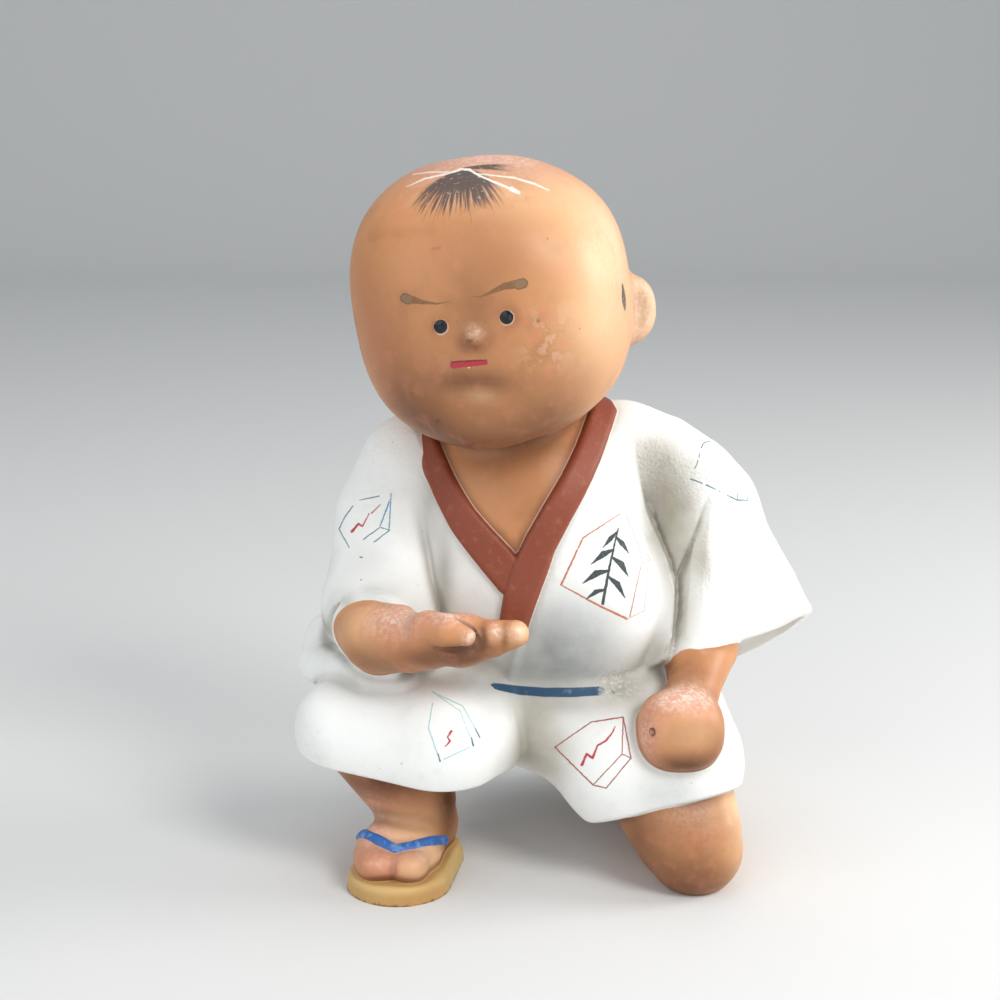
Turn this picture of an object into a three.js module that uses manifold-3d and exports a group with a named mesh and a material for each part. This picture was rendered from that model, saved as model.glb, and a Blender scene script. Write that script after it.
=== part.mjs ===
// A kneeling boy, a painted clay doll made in one piece, standing on one sandal, one knee and the other foot.
// Millimetres, +Z up, the doll looks towards -Y. The origin is on the ground, under the middle of the doll.
import * as THREE from "three";
import { mergeVertices } from "three/addons/utils/BufferGeometryUtils.js";
import Module from "manifold-3d";

const wasm = await Module();
wasm.setup();

// Driving sizes, in millimetres.
const figureHeight = 181;
const headWidth = 69.2;
const headHeight = 75;
const headDepth = 69;
const collarRelief = 1.1;
const strapRelief = 0.8;
const sleeveWall = 2.6;
const hemEdge = 1.2;
const soleThickness = 4.6;

// How the surface is drawn: the grid it is found on, and how many triangles are kept.
const gridStep = 1.5;
const triangleGoal = 9400;

// The pose and the proportions are shares of the doll's height: one step is a 181st of it.
const step = figureHeight / 181;
const place = (x, y, z) => new THREE.Vector3(x, y, z).multiplyScalar(step);

// Forms: each is a function of a place that is negative inside the form and about the distance to it outside.

// A sphere drawn out to three radii, squarer than an ellipsoid where power is over 2.
function blob([cx, cy, cz], [rx, ry, rz], turn = [0, 0, 0], power = 2) {
  const centre = place(cx, cy, cz);
  const [a, b, c] = [rx * step, ry * step, rz * step];
  const e = new THREE.Matrix4().makeRotationFromEuler(
    new THREE.Euler(...turn.map(THREE.MathUtils.degToRad), "YZX"),
  ).elements;
  return (x, y, z) => {
    const dx = x - centre.x, dy = y - centre.y, dz = z - centre.z;
    const u = Math.abs(e[0] * dx + e[1] * dy + e[2] * dz) / a;
    const v = Math.abs(e[4] * dx + e[5] * dy + e[6] * dz) / b;
    const w = Math.abs(e[8] * dx + e[9] * dy + e[10] * dz) / c;
    const k = Math.pow(u ** power + v ** power + w ** power, 1 / power);
    if (k < 1e-6) return -Math.min(a, b, c);
    const slope = Math.hypot(
      (u / k) ** (power - 1) / a,
      (v / k) ** (power - 1) / b,
      (w / k) ** (power - 1) / c,
    );
    return (k - 1) / slope;
  };
}

// A round limb through a few places, each given as x, y, z and its radius there.
function limb(...stops) {
  const ends = stops.map(([x, y, z, r]) => ({ p: place(x, y, z), r: r * step }));
  return (x, y, z) => {
    let nearest = Infinity;
    for (let i = 0; i + 1 < ends.length; i++) {
      const { p, r } = ends[i], { p: q, r: s } = ends[i + 1];
      const dx = q.x - p.x, dy = q.y - p.y, dz = q.z - p.z;
      const length2 = dx * dx + dy * dy + dz * dz;
      let t = ((x - p.x) * dx + (y - p.y) * dy + (z - p.z) * dz) / length2;
      t = t < 0 ? 0 : t > 1 ? 1 : t;
      const d = Math.hypot(x - p.x - t * dx, y - p.y - t * dy, z - p.z - t * dz) - r - t * (s - r);
      if (d < nearest) nearest = d;
    }
    return nearest;
  };
}

// A rounded triangular pad between three places, each given as x, y, z and half the pad's thickness there.
function pad(...corners) {
  const [A, B, C] = corners.map(([x, y, z]) => place(x, y, z));
  const [ra, rb, rc] = corners.map((corner) => corner[3] * step);
  const triangle = new THREE.Triangle(A, B, C);
  const p = new THREE.Vector3(), near = new THREE.Vector3(), share = new THREE.Vector3();
  return (x, y, z) => {
    p.set(x, y, z);
    triangle.closestPointToPoint(p, near);
    triangle.getBarycoord(near, share);
    return p.distanceTo(near) - share.x * ra - share.y * rb - share.z * rc;
  };
}

// Everything on the side of a plane that its normal points away from.
function below([px, py, pz], [nx, ny, nz]) {
  const n = new THREE.Vector3(nx, ny, nz).normalize();
  const offset = n.dot(place(px, py, pz));
  return (x, y, z) => n.x * x + n.y * y + n.z * z - offset;
}

const clamp = THREE.MathUtils.clamp;

const smoothMin = (a, b, k) => {
  const h = Math.max(k - Math.abs(a - b), 0) / k;
  return Math.min(a, b) - (h * h * k) / 4;
};

// Forms joined with a fillet of about the given width between them.
const melt = (width, ...forms) => {
  const k = width * step;
  return (x, y, z) => {
    let d = forms[0](x, y, z);
    for (let i = 1; i < forms.length; i++) d = smoothMin(d, forms[i](x, y, z), k);
    return d;
  };
};

// The first form where it is inside the second, or with the second taken away, with the edge rounded.
const within = (width, form, bound) => {
  const k = width * step;
  return (x, y, z) => -smoothMin(-form(x, y, z), -bound(x, y, z), k);
};
const carve = (width, form, tool) => {
  const k = width * step;
  return (x, y, z) => -smoothMin(-form(x, y, z), tool(x, y, z), k);
};

// A form grown outwards by some millimetres, or shrunk inwards where they are negative.
const grown = (width, form) => (x, y, z) => form(x, y, z) - width;

// The direction and the steepness in which a form's distance grows at a place.
const slopeOf = (form, x, y, z) => [
  (form(x + 0.04, y, z) - form(x - 0.04, y, z)) / 0.08,
  (form(x, y + 0.04, z) - form(x, y - 0.04, z)) / 0.08,
  (form(x, y, z + 0.04) - form(x, y, z - 0.04)) / 0.08,
];

// A place moved onto a form's surface, by a few steps down or up the slope of its distance.
function ontoSurface(form, x, y, z, steps, reach) {
  let p = [x, y, z];
  for (let n = 0; n < steps; n++) {
    const g = slopeOf(form, ...p);
    const steep = g[0] * g[0] + g[1] * g[1] + g[2] * g[2];
    if (steep < 1e-3) break;
    const move = clamp(form(...p) / steep, -reach, reach);
    p = p.map((value, i) => value - move * g[i]);
  }
  return p;
}

// The stops of a limb laid onto a form's surface.
const laidOn = (form, stops) => stops.map(([x, y, z, r]) => {
  const p = ontoSurface(form, x * step, y * step, z * step, 8, 4);
  return [...p.map((value) => value / step), r];
});

// How deep a fold on the doll's front is pressed in. Each stop gives a height, the x of the fold's line there, its
// depth and its width: the fold is deepest at the line and rises to its right.
const edgeRound = 0.9, frontStart = -3, frontFade = 3;
const pressed = (stops) => (x, y, z) => {
  const height = z / step;
  let i = 1;
  while (i < stops.length - 1 && height > stops[i][0]) i++;
  const share = clamp((height - stops[i - 1][0]) / (stops[i][0] - stops[i - 1][0]), 0, 1);
  const [, line, depth, width] = stops[i].map((value, k) => THREE.MathUtils.lerp(stops[i - 1][k], value, share));
  const along = x / step - line;
  const slant = clamp(1 - along / width, 0, 1) * clamp(0.5 + along / edgeRound, 0, 1);
  return step * depth * slant * clamp((frontStart - y / step) / frontFade, 0, 1);
};
const foldedIn = (form, fold) => (x, y, z) => form(x, y, z) + fold(x, y, z);

// A width that changes evenly between two places along an axis.
const widthAt = (value, low, high, first, last) =>
  step * THREE.MathUtils.mapLinear(clamp(value / step, low, high), low, high, first, last);

// The head, with its own frame: its middle, and its turn in degrees.
const headTurn = [6, -8, -10];
const headMiddle = [-15.8, -10, 143.4];
const headEuler = new THREE.Euler(...headTurn.map(THREE.MathUtils.degToRad), "YZX");
const onHead = (x, y, z) => {
  const p = new THREE.Vector3(x, y, z).applyEuler(headEuler);
  return [headMiddle[0] + p.x, headMiddle[1] + p.y, headMiddle[2] + p.z];
};
const [halfWidth, halfDepth, halfHeight] = [headWidth / 2 / step, headDepth / 2 / step, headHeight / 2 / step];
const skull = melt(14,
  blob(onHead(-4.1, 0, 3.7), [halfWidth - 6.7, halfDepth - 3.6, halfHeight - 5.5], headTurn, 2.67),
  blob(onHead(5.4, -0.5, 1), [halfWidth - 5.8, halfDepth - 4.2, halfHeight - 9.2], headTurn, 2.8),
);
const nose = blob(onHead(1.7, -33.5, 2.4), [2.5, 3, 2.6], headTurn);
const cheeks = melt(10,
  blob(onHead(-6.5, -20.5, -13), [10.5, 12.5, 11.5], headTurn),
  blob(onHead(11, -20.5, -13), [12.5, 12.5, 11.5], headTurn),
);
const chin = blob(onHead(0.5, -26.5, -20), [8.5, 6, 5.5], headTurn);
const ear = (side) => {
  const turn = [headTurn[0], headTurn[1], headTurn[2] + side * 30];
  const disc = blob(onHead(side * 31.4, 13.2, -8), [8, 3.4, 9], turn, 2.2);
  const bowl = blob(onHead(side * 34.8, 9.9, -7.5), [4.4, 2.4, 5.6], turn);
  return carve(1.5, disc, bowl);
};
const head = melt(3, melt(2, melt(8, skull, cheeks, chin), nose), ear(-1), ear(1));
const neck = limb([-12, -3, 114, 17.5], [-9, -3, 90, 20]);

// The trunk and the two shoulders under the clothes.
const trunk = melt(10,
  limb([1, 3, 52, 27], [0, 1, 74, 28.5], [-5, 0, 91, 28]),
  limb([-32, 3, 98, 13.5], [-12, 4, 98, 15], [18, 5, 101, 14.5]),
  blob([1, -8, 66], [28.5, 23, 19]),
  limb([-18, -9, 95, 12.5], [-18.5, -10.5, 78, 13]),
  limb([-11, 3, 98, 18], [-10.5, 2, 106, 18]),
);
const lapelEdge = [[-8.6, -29, 62, 0.6], [-10, -28.3, 57, 0.9], [-12, -27, 51.5, 0.8]];
const torso = melt(1.6, trunk, limb(...laidOn(trunk, lapelEdge)));

// The front opening of the coat, and the collar that runs along it and round the neck.
const opening = within(0.2,
  within(0.2, below([-24, -20, 95], [-0.8, -0.14, -0.58]), below([-4, -26, 88], [0.88, -0.12, -0.45])),
  below([0, 4, 100], [0, 1, 0]),
);
const rightBand = [
  [-10.2, -32, 66.8, 4.5], [-7.9, -30, 74.4, 5], [-5.6, -28, 81, 5.1], [-3.1, -26, 87.5, 5], [0.8, -22, 94.5, 4.6],
  [4.5, -18, 100, 3.9], [8, -14, 105.5, 3.6], [10.8, -8, 111, 3.4], [12.4, -2, 115.5, 3.3],
];
const napeBand = [
  [12.4, -2, 115.5, 3.3], [11, 7, 116, 3.3], [5, 15, 114.5, 3.3], [-5, 19, 113, 3.3], [-16, 19, 112, 3.3],
  [-26, 14, 111.5, 3.3], [-32, 5, 111.5, 3.2], [-34.5, -5, 110, 3.2],
];
const leftBand = [
  [-34.5, -5, 110, 3.2], [-31.4, -10, 107, 3.3], [-28.4, -15, 102.5, 3.5], [-25.4, -19, 97.8, 3.8],
  [-22, -22, 92.5, 4.1], [-18, -25.5, 87.2, 4.3], [-14.4, -27.5, 83, 4.4], [-11, -29, 79, 4.3],
];
const collar = melt(0.4,
  within(1.2, limb(...laidOn(torso, napeBand), ...laidOn(torso, leftBand).slice(1)), grown(collarRelief, torso)),
  within(1.2, limb(...laidOn(torso, rightBand)), grown(collarRelief + 0.4, torso)),
);

// The right arm, bent before the body with the palm up, out of a wide cuff.
const forearm = melt(2.5,
  limb([-49.5, -10, 66, 9.2], [-43.8, -27, 63.8, 9.6], [-35.5, -36.5, 64.9, 7.4], [-31, -40, 66, 6.3]),
  limb([-31, -40, 67.2, 6.2], [-23, -43.4, 68, 6.3]),
  limb([-23, -43.4, 67.6, 5.8], [-15.5, -45, 68.8, 4.6], [-10, -46.4, 70.4, 3.3]),
);
const knuckles = melt(0.8, blob([-15.6, -47.4, 70.6], [2.9, 2.9, 2.9]), blob([-10.6, -48, 71.3], [2.4, 2.4, 2.4]));
const thumb = limb([-31, -42.6, 70.6, 4.3], [-26, -47, 71.2, 4.1], [-21.6, -49.4, 70.4, 2.7]);
const rightArm = within(1, melt(1.6, melt(1.4, forearm, knuckles), thumb), below([-46, -25, 72], [0.4, 0.9, 0.1]));
const upperSleeve = melt(6,
  limb([-35.3, 3, 98.6, 15.5], [-42.8, 1, 88, 13.6], [-44.6, -1, 74, 13.2], [-46, -4, 62, 12.3]),
  limb([-35, -1, 96, 11], [-37.5, -7.5, 82, 9.5], [-38, -14, 70, 9.5], [-37, -16, 60, 9]),
  limb([-46.8, -8, 65.5, 12.4], [-43.6, -27, 64.2, 10.7]),
);
const mouth = below([-46, -28, 72], [-0.4, -0.9, -0.1]);
const mouthHollow = limb([-53, -23, 71, 0.8], [-57, -19, 64, 2.6], [-58.5, -16, 58.5, 3.6]);
const cuffLip = limb(
  [-58.5, 4, 53, 7], [-60.8, -6, 49.4, 5.4], [-55, -15, 50, 5.4], [-45.5, -24, 50.8, 5.4], [-37, -27, 50, 4.4],
);
const rightSleeve = melt(1.5, carve(2, within(hemEdge, upperSleeve, mouth), mouthHollow), cuffLip);

// The left arm, with the fist on the left thigh, out of a wide hollow sleeve.
const leftArm = within(1,
  melt(2.5,
    limb([40, -2, 66, 10], [38, -12, 56, 9.6], [35.6, -24, 50, 6.7], [33, -31, 46, 7]),
    blob([31, -37, 42.6], [10.7, 9.6, 9.7], [0, 0, 0], 2.5),
  ),
  below([40, -14, 59.4], [-0.1, 0.3, 1]),
);
const leftSleeveBulk = melt(5,
  limb([18, 5, 102, 14.5], [27, 5, 99.5, 13.9], [35, 5, 95, 13.2], [41, 4.5, 89, 11.7]),
  limb([41, 4.5, 89, 11.7], [46, 4, 82, 10.3], [51, 3.5, 75.5, 8.9], [57, 3, 68, 7.5], [63.5, 2, 60, 5.2]),
  pad([32, 3, 90, 13], [60, 3, 58, 6], [36.5, -12, 50, 14]),
  pad([36, 4, 84, 12], [59.5, 5, 55, 6.4], [42, 6, 46, 11]),
);
const pleat = pressed([
  [55, 29, 1.2, 7], [60, 30, 1.6, 6.4], [70.5, 30.9, 2.5, 6.6], [75, 31.2, 2.7, 6.4], [79.4, 32.9, 2.6, 5.5],
  [87.5, 36.2, 1.8, 3.2], [94, 38.7, 0.5, 1.5], [96, 39, 0, 1.5],
]);
const folded = foldedIn(leftSleeveBulk, pleat);
const leftHem = within(3,
  below([48.6, -8, 54.2], [0.286, -0.5, -1]),
  below([48.6, -8, 54.2], [0.63, -0.6, -1]),
);
const leftHollow = within(3, grown(-sleeveWall, folded),
  within(2, below([48.6, -8, 59.2], [-0.4, 0.5, 1]), below([33, -20, 52], [-0.9, -0.3, 0])));
const leftSleeve = carve(1, within(hemEdge, folded, leftHem), leftHollow);

// The fold between the trunk and the left sleeve.
const armpit = pressed([
  [54, 27, 0, 3], [57, 28, 0.6, 3], [61, 30, 1.2, 3], [68, 30.8, 2, 3], [72.7, 30.6, 2.8, 3.6], [78.6, 29.3, 3.4, 5.4],
  [84.4, 26.8, 3.5, 9], [91.6, 23.6, 3, 12.5], [99.6, 21.6, 2, 11], [107, 20.2, 0.8, 8], [111, 19, 0, 4],
]);

// The skirt of the coat over the two thighs and the seat.
const rightLap = within(hemEdge,
  melt(4,
    pad([-52.8, -21, 37.8, 13.1], [-27, -28, 37, 15.2], [-12, 8, 42, 17]),
    pad([-27, -28, 37, 15.2], [-22, -25.5, 38.5, 13.4], [-12, 8, 42, 17]),
    limb([-50.5, -22.5, 34, 13.2], [-30, -28.4, 34, 15]),
    pad([-18, -22, 46, 6.5], [-15.4, -27.4, 34.5, 6.5], [-28, -27, 38, 13.5]),
  ),
  below([-33, -44, 28.2], [-0.04, 0.15, -1]),
);
const leftLap = within(hemEdge,
  melt(5,
    pad([25.5, 8, 41, 17], [31.4, -20, 30, 16.7], [17.6, -24.5, 29.5, 16]),
    pad([24, 8, 40, 17], [17.6, -24.5, 29.5, 16], [3, -16, 38.5, 14.6]),
    limb([-14, -13, 40, 14], [3, -16.5, 38.5, 14.6]),
    limb([20, -26.5, 27, 15], [32.5, -27.5, 28, 14.8]),
  ),
  below([16, -40, 20], [0.259, -0.341, -1]),
);
const seat = within(hemEdge, blob([2, 13, 37], [33, 24.5, 24], [0, 0, 0], 2.6), below([0, 30, 17], [0.05, -0.14, -1]));

// The legs.
const rightLeg = within(1,
  melt(3,
    limb([-45.2, -20.6, 36, 14.4], [-35.7, -19, 17, 10.6], [-34.5, -16, 9, 9.4]),
    pad([-33.5, -14, 9, 8], [-43, -31, 7.6, 7.4], [-35, -31.5, 7.2, 6.4]),
  ),
  below([-33, -44, 29.4], [0.04, -0.15, 1]),
);
const toes = melt(0.9,
  blob([-44, -35.6, 6.4], [6.1, 8.8, 4.1], [-14, 0, 8], 2.6),
  blob([-36.2, -36.8, 6.4], [4.8, 8.6, 4.2], [-14, 0, -4], 2.5),
);
const rightFoot = melt(2.6, rightLeg, toes);
const strapPath = [
  [-50.8, -29, 11.8, 1.15], [-48.3, -32, 12.8, 1.15], [-44.2, -36.4, 13, 1.2], [-39.8, -38.6, 11.8, 1.45],
  [-35.4, -37.2, 12.4, 1.2], [-30.6, -33.4, 11.4, 1.15], [-26, -27.4, 8.8, 1.15],
];
const strap = within(0.4, limb(...laidOn(rightFoot, strapPath)), grown(strapRelief, rightFoot));
const leftThigh = melt(4,
  limb([24, 4, 34, 15], [31, -28, 19, 13.5]),
  limb([30.4, -30, 21.5, 14.6], [33.6, -33, 14, 13.6], [35.4, -34, 10, 12.2]),
);
const leftShin = melt(4,
  limb([34, -28, 11, 11], [31, 22, 10, 9.5], [30.5, 33, 14, 9]),
  limb([27, 14, 18, 7.5], [25.5, 27, 18, 5.5]),
);
const leftLeg = melt(4,
  within(1, within(5, leftThigh, below([33, -41.5, 24], [0, -0.8, 0.6])), below([16, -40, 21.5], [-0.259, 0.341, 1])),
  leftShin,
);

// The sandals: the right one flat, the left one on its toe edge behind the seat.
const rightSandal = within(1.2,
  limb([-34.4, -18.3, 0, 11.2], [-39.2, -34.4, 0, 13.2]),
  below([0, 0, soleThickness / step], [0, 0, 1]),
);
const leftSandal = within(1.2,
  within(1.2, limb([30.5, 42, 12, 12.5], [30.5, 36, 28, 11.5]), below([30.5, 41.8, 16], [0, 0.95, 0.32])),
  below([30.5, 37.2, 16], [0, -0.95, -0.32]),
);

// The coat: the crease between the two laps is sharp in front and soft behind, the one under the right shoulder
// sharp below and soft above.
const behind = melt(7, leftLap, seat);
const skirt = (x, y, z) => smoothMin(rightLap(x, y, z), behind(x, y, z), widthAt(y, -24, -6, 1.8, 7));
const coat = foldedIn(melt(3, carve(0.5, torso, opening), leftSleeve, skirt), armpit);
const cloth = (x, y, z) => smoothMin(rightSleeve(x, y, z), coat(x, y, z), widthAt(z, 88, 102, 1.2, 4));
const chest = within(0.4, grown(-0.9, torso), grown(3, opening));
const skin = melt(0.8, head, neck, chest, rightFoot, leftLeg, rightSandal, leftSandal, strap);
const figureForm = melt(0.5, melt(1.8, cloth, rightArm, leftArm), skin, collar);

// The surface of a form inside a box: a place in each cell of a grid that it crosses, and a quad for each grid edge
// that it crosses.
function surfaceOf(form, low, high, cell) {
  const count = [0, 1, 2].map((i) => Math.ceil((high[i] - low[i]) / cell) + 1);
  const [nx, ny, nz] = count;
  const value = new Float32Array(nx * ny * nz);
  const index = (i, j, k) => i + nx * (j + ny * k);
  // Blocks of the grid that are far from the surface take one value for all.
  const block = 5;
  const margin = 1.6;
  const reach = ((block + 1) * cell * Math.sqrt(3)) / 2 * margin;
  for (let k0 = 0; k0 < nz; k0 += block)
    for (let j0 = 0; j0 < ny; j0 += block)
      for (let i0 = 0; i0 < nx; i0 += block) {
        const middle = (block - 1) / 2;
        const far = form(low[0] + (i0 + middle) * cell, low[1] + (j0 + middle) * cell, low[2] + (k0 + middle) * cell);
        const skip = Math.abs(far) > reach;
        for (let k = k0; k < Math.min(k0 + block, nz); k++)
          for (let j = j0; j < Math.min(j0 + block, ny); j++)
            for (let i = i0; i < Math.min(i0 + block, nx); i++)
              value[index(i, j, k)] = skip ? far : form(low[0] + i * cell, low[1] + j * cell, low[2] + k * cell);
      }
  const strides = [1, nx, nx * ny];
  // A cell's edges are numbered by their axis and their place round it. Each face knows its own four.
  const faces = [0, 1, 2].flatMap((w) => [0, 1].map((level) => {
    const p = 4 * ((w + 1) % 3), q = 4 * ((w + 2) % 3);
    return {
      corner: level * strides[w],
      rows: [p + 2 * level, p + 2 * level + 1],
      columns: [q + level, q + level + 2],
    };
  }));
  const places = [];
  const vertexOf = new Map();
  for (let k = 0; k < nz - 1; k++)
    for (let j = 0; j < ny - 1; j++)
      for (let i = 0; i < nx - 1; i++) {
        const base = index(i, j, k);
        const at = new Map();
        for (let axis = 0; axis < 3; axis++) {
          const u = (axis + 1) % 3, v = (axis + 2) % 3;
          for (let side = 0; side < 4; side++) {
            const start = base + (side & 1) * strides[u] + (side >> 1) * strides[v];
            const va = value[start], vb = value[start + strides[axis]];
            if (va < 0 === vb < 0) continue;
            const spot = [0, 0, 0];
            spot[axis] = va / (va - vb);
            spot[u] = side & 1;
            spot[v] = side >> 1;
            at.set(4 * axis + side, spot);
          }
        }
        if (!at.size) continue;
        // Two sheets of the surface that cross one cell are kept apart, each with a place of its own.
        const leader = new Int8Array(12).map((_, edge) => edge);
        const join = (a, b) => {
          const [kept, lost] = [leader[a], leader[b]];
          for (let edge = 0; edge < 12; edge++) if (leader[edge] === lost) leader[edge] = kept;
        };
        for (const { corner, rows, columns } of faces) {
          const crossed = [...rows, ...columns].filter((edge) => at.has(edge));
          if (crossed.length === 2) join(crossed[0], crossed[1]);
          if (crossed.length === 4) {
            const turned = value[base + corner] < 0 ? 0 : 1;
            join(rows[0], columns[turned]);
            join(rows[1], columns[1 - turned]);
          }
        }
        const names = new Int32Array(12).fill(-1);
        for (const edge of at.keys()) {
          if (names[leader[edge]] < 0) {
            const sheet = [...at.keys()].filter((other) => leader[other] === leader[edge]);
            const raw = [i, j, k].map((n, axis) => {
              const mean = sheet.reduce((sum, other) => sum + at.get(other)[axis], 0) / sheet.length;
              return low[axis] + (n + mean) * cell;
            });
            names[leader[edge]] = places.length / 3;
            places.push(...ontoSurface(form, ...raw, 2, cell / 2));
          }
        }
        vertexOf.set(base, Int32Array.from(leader, (lead) => names[lead]));
      }
  const triangles = [];
  for (let k = 1; k < nz - 1; k++)
    for (let j = 1; j < ny - 1; j++)
      for (let i = 1; i < nx - 1; i++) {
        const base = index(i, j, k);
        for (let axis = 0; axis < 3; axis++) {
          const inside = value[base] < 0;
          if (inside === value[base + strides[axis]] < 0) continue;
          const u = strides[(axis + 1) % 3], v = strides[(axis + 2) % 3];
          const quad = [[base, 0], [base - u, 1], [base - u - v, 3], [base - v, 2]]
            .map(([owner, side]) => vertexOf.get(owner)[4 * axis + side]);
          if (!inside) quad.reverse();
          const [a, b, c, d] = quad;
          triangles.push(a, b, c, a, c, d);
        }
      }
  return { places, triangles };
}

// The places that some triangles use, numbered anew.
function packed(places, triangles) {
  const number = new Int32Array(places.length / 3).fill(-1);
  const kept = [];
  const renamed = triangles.map((v) => {
    if (number[v] < 0) {
      number[v] = kept.length / 3;
      kept.push(places[3 * v], places[3 * v + 1], places[3 * v + 2]);
    }
    return number[v];
  });
  return { places: kept, triangles: renamed };
}

// The largest closed skin of a mesh, without the small pockets that are left where forms meet inside the clay.
function outerSkin({ places, triangles }) {
  const leader = Int32Array.from({ length: places.length / 3 }, (_, v) => v);
  const find = (v) => {
    while (leader[v] !== v) v = leader[v] = leader[leader[v]];
    return v;
  };
  for (let t = 0; t < triangles.length; t += 3)
    for (const v of [triangles[t + 1], triangles[t + 2]]) leader[find(v)] = find(triangles[t]);
  const size = new Map();
  for (let t = 0; t < triangles.length; t += 3) {
    const skin = find(triangles[t]);
    size.set(skin, (size.get(skin) ?? 0) + 1);
  }
  const [largest] = [...size].reduce((best, entry) => (entry[1] > best[1] ? entry : best));
  return packed(places, triangles.filter((_, i) => find(triangles[i - (i % 3)]) === largest));
}

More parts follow.
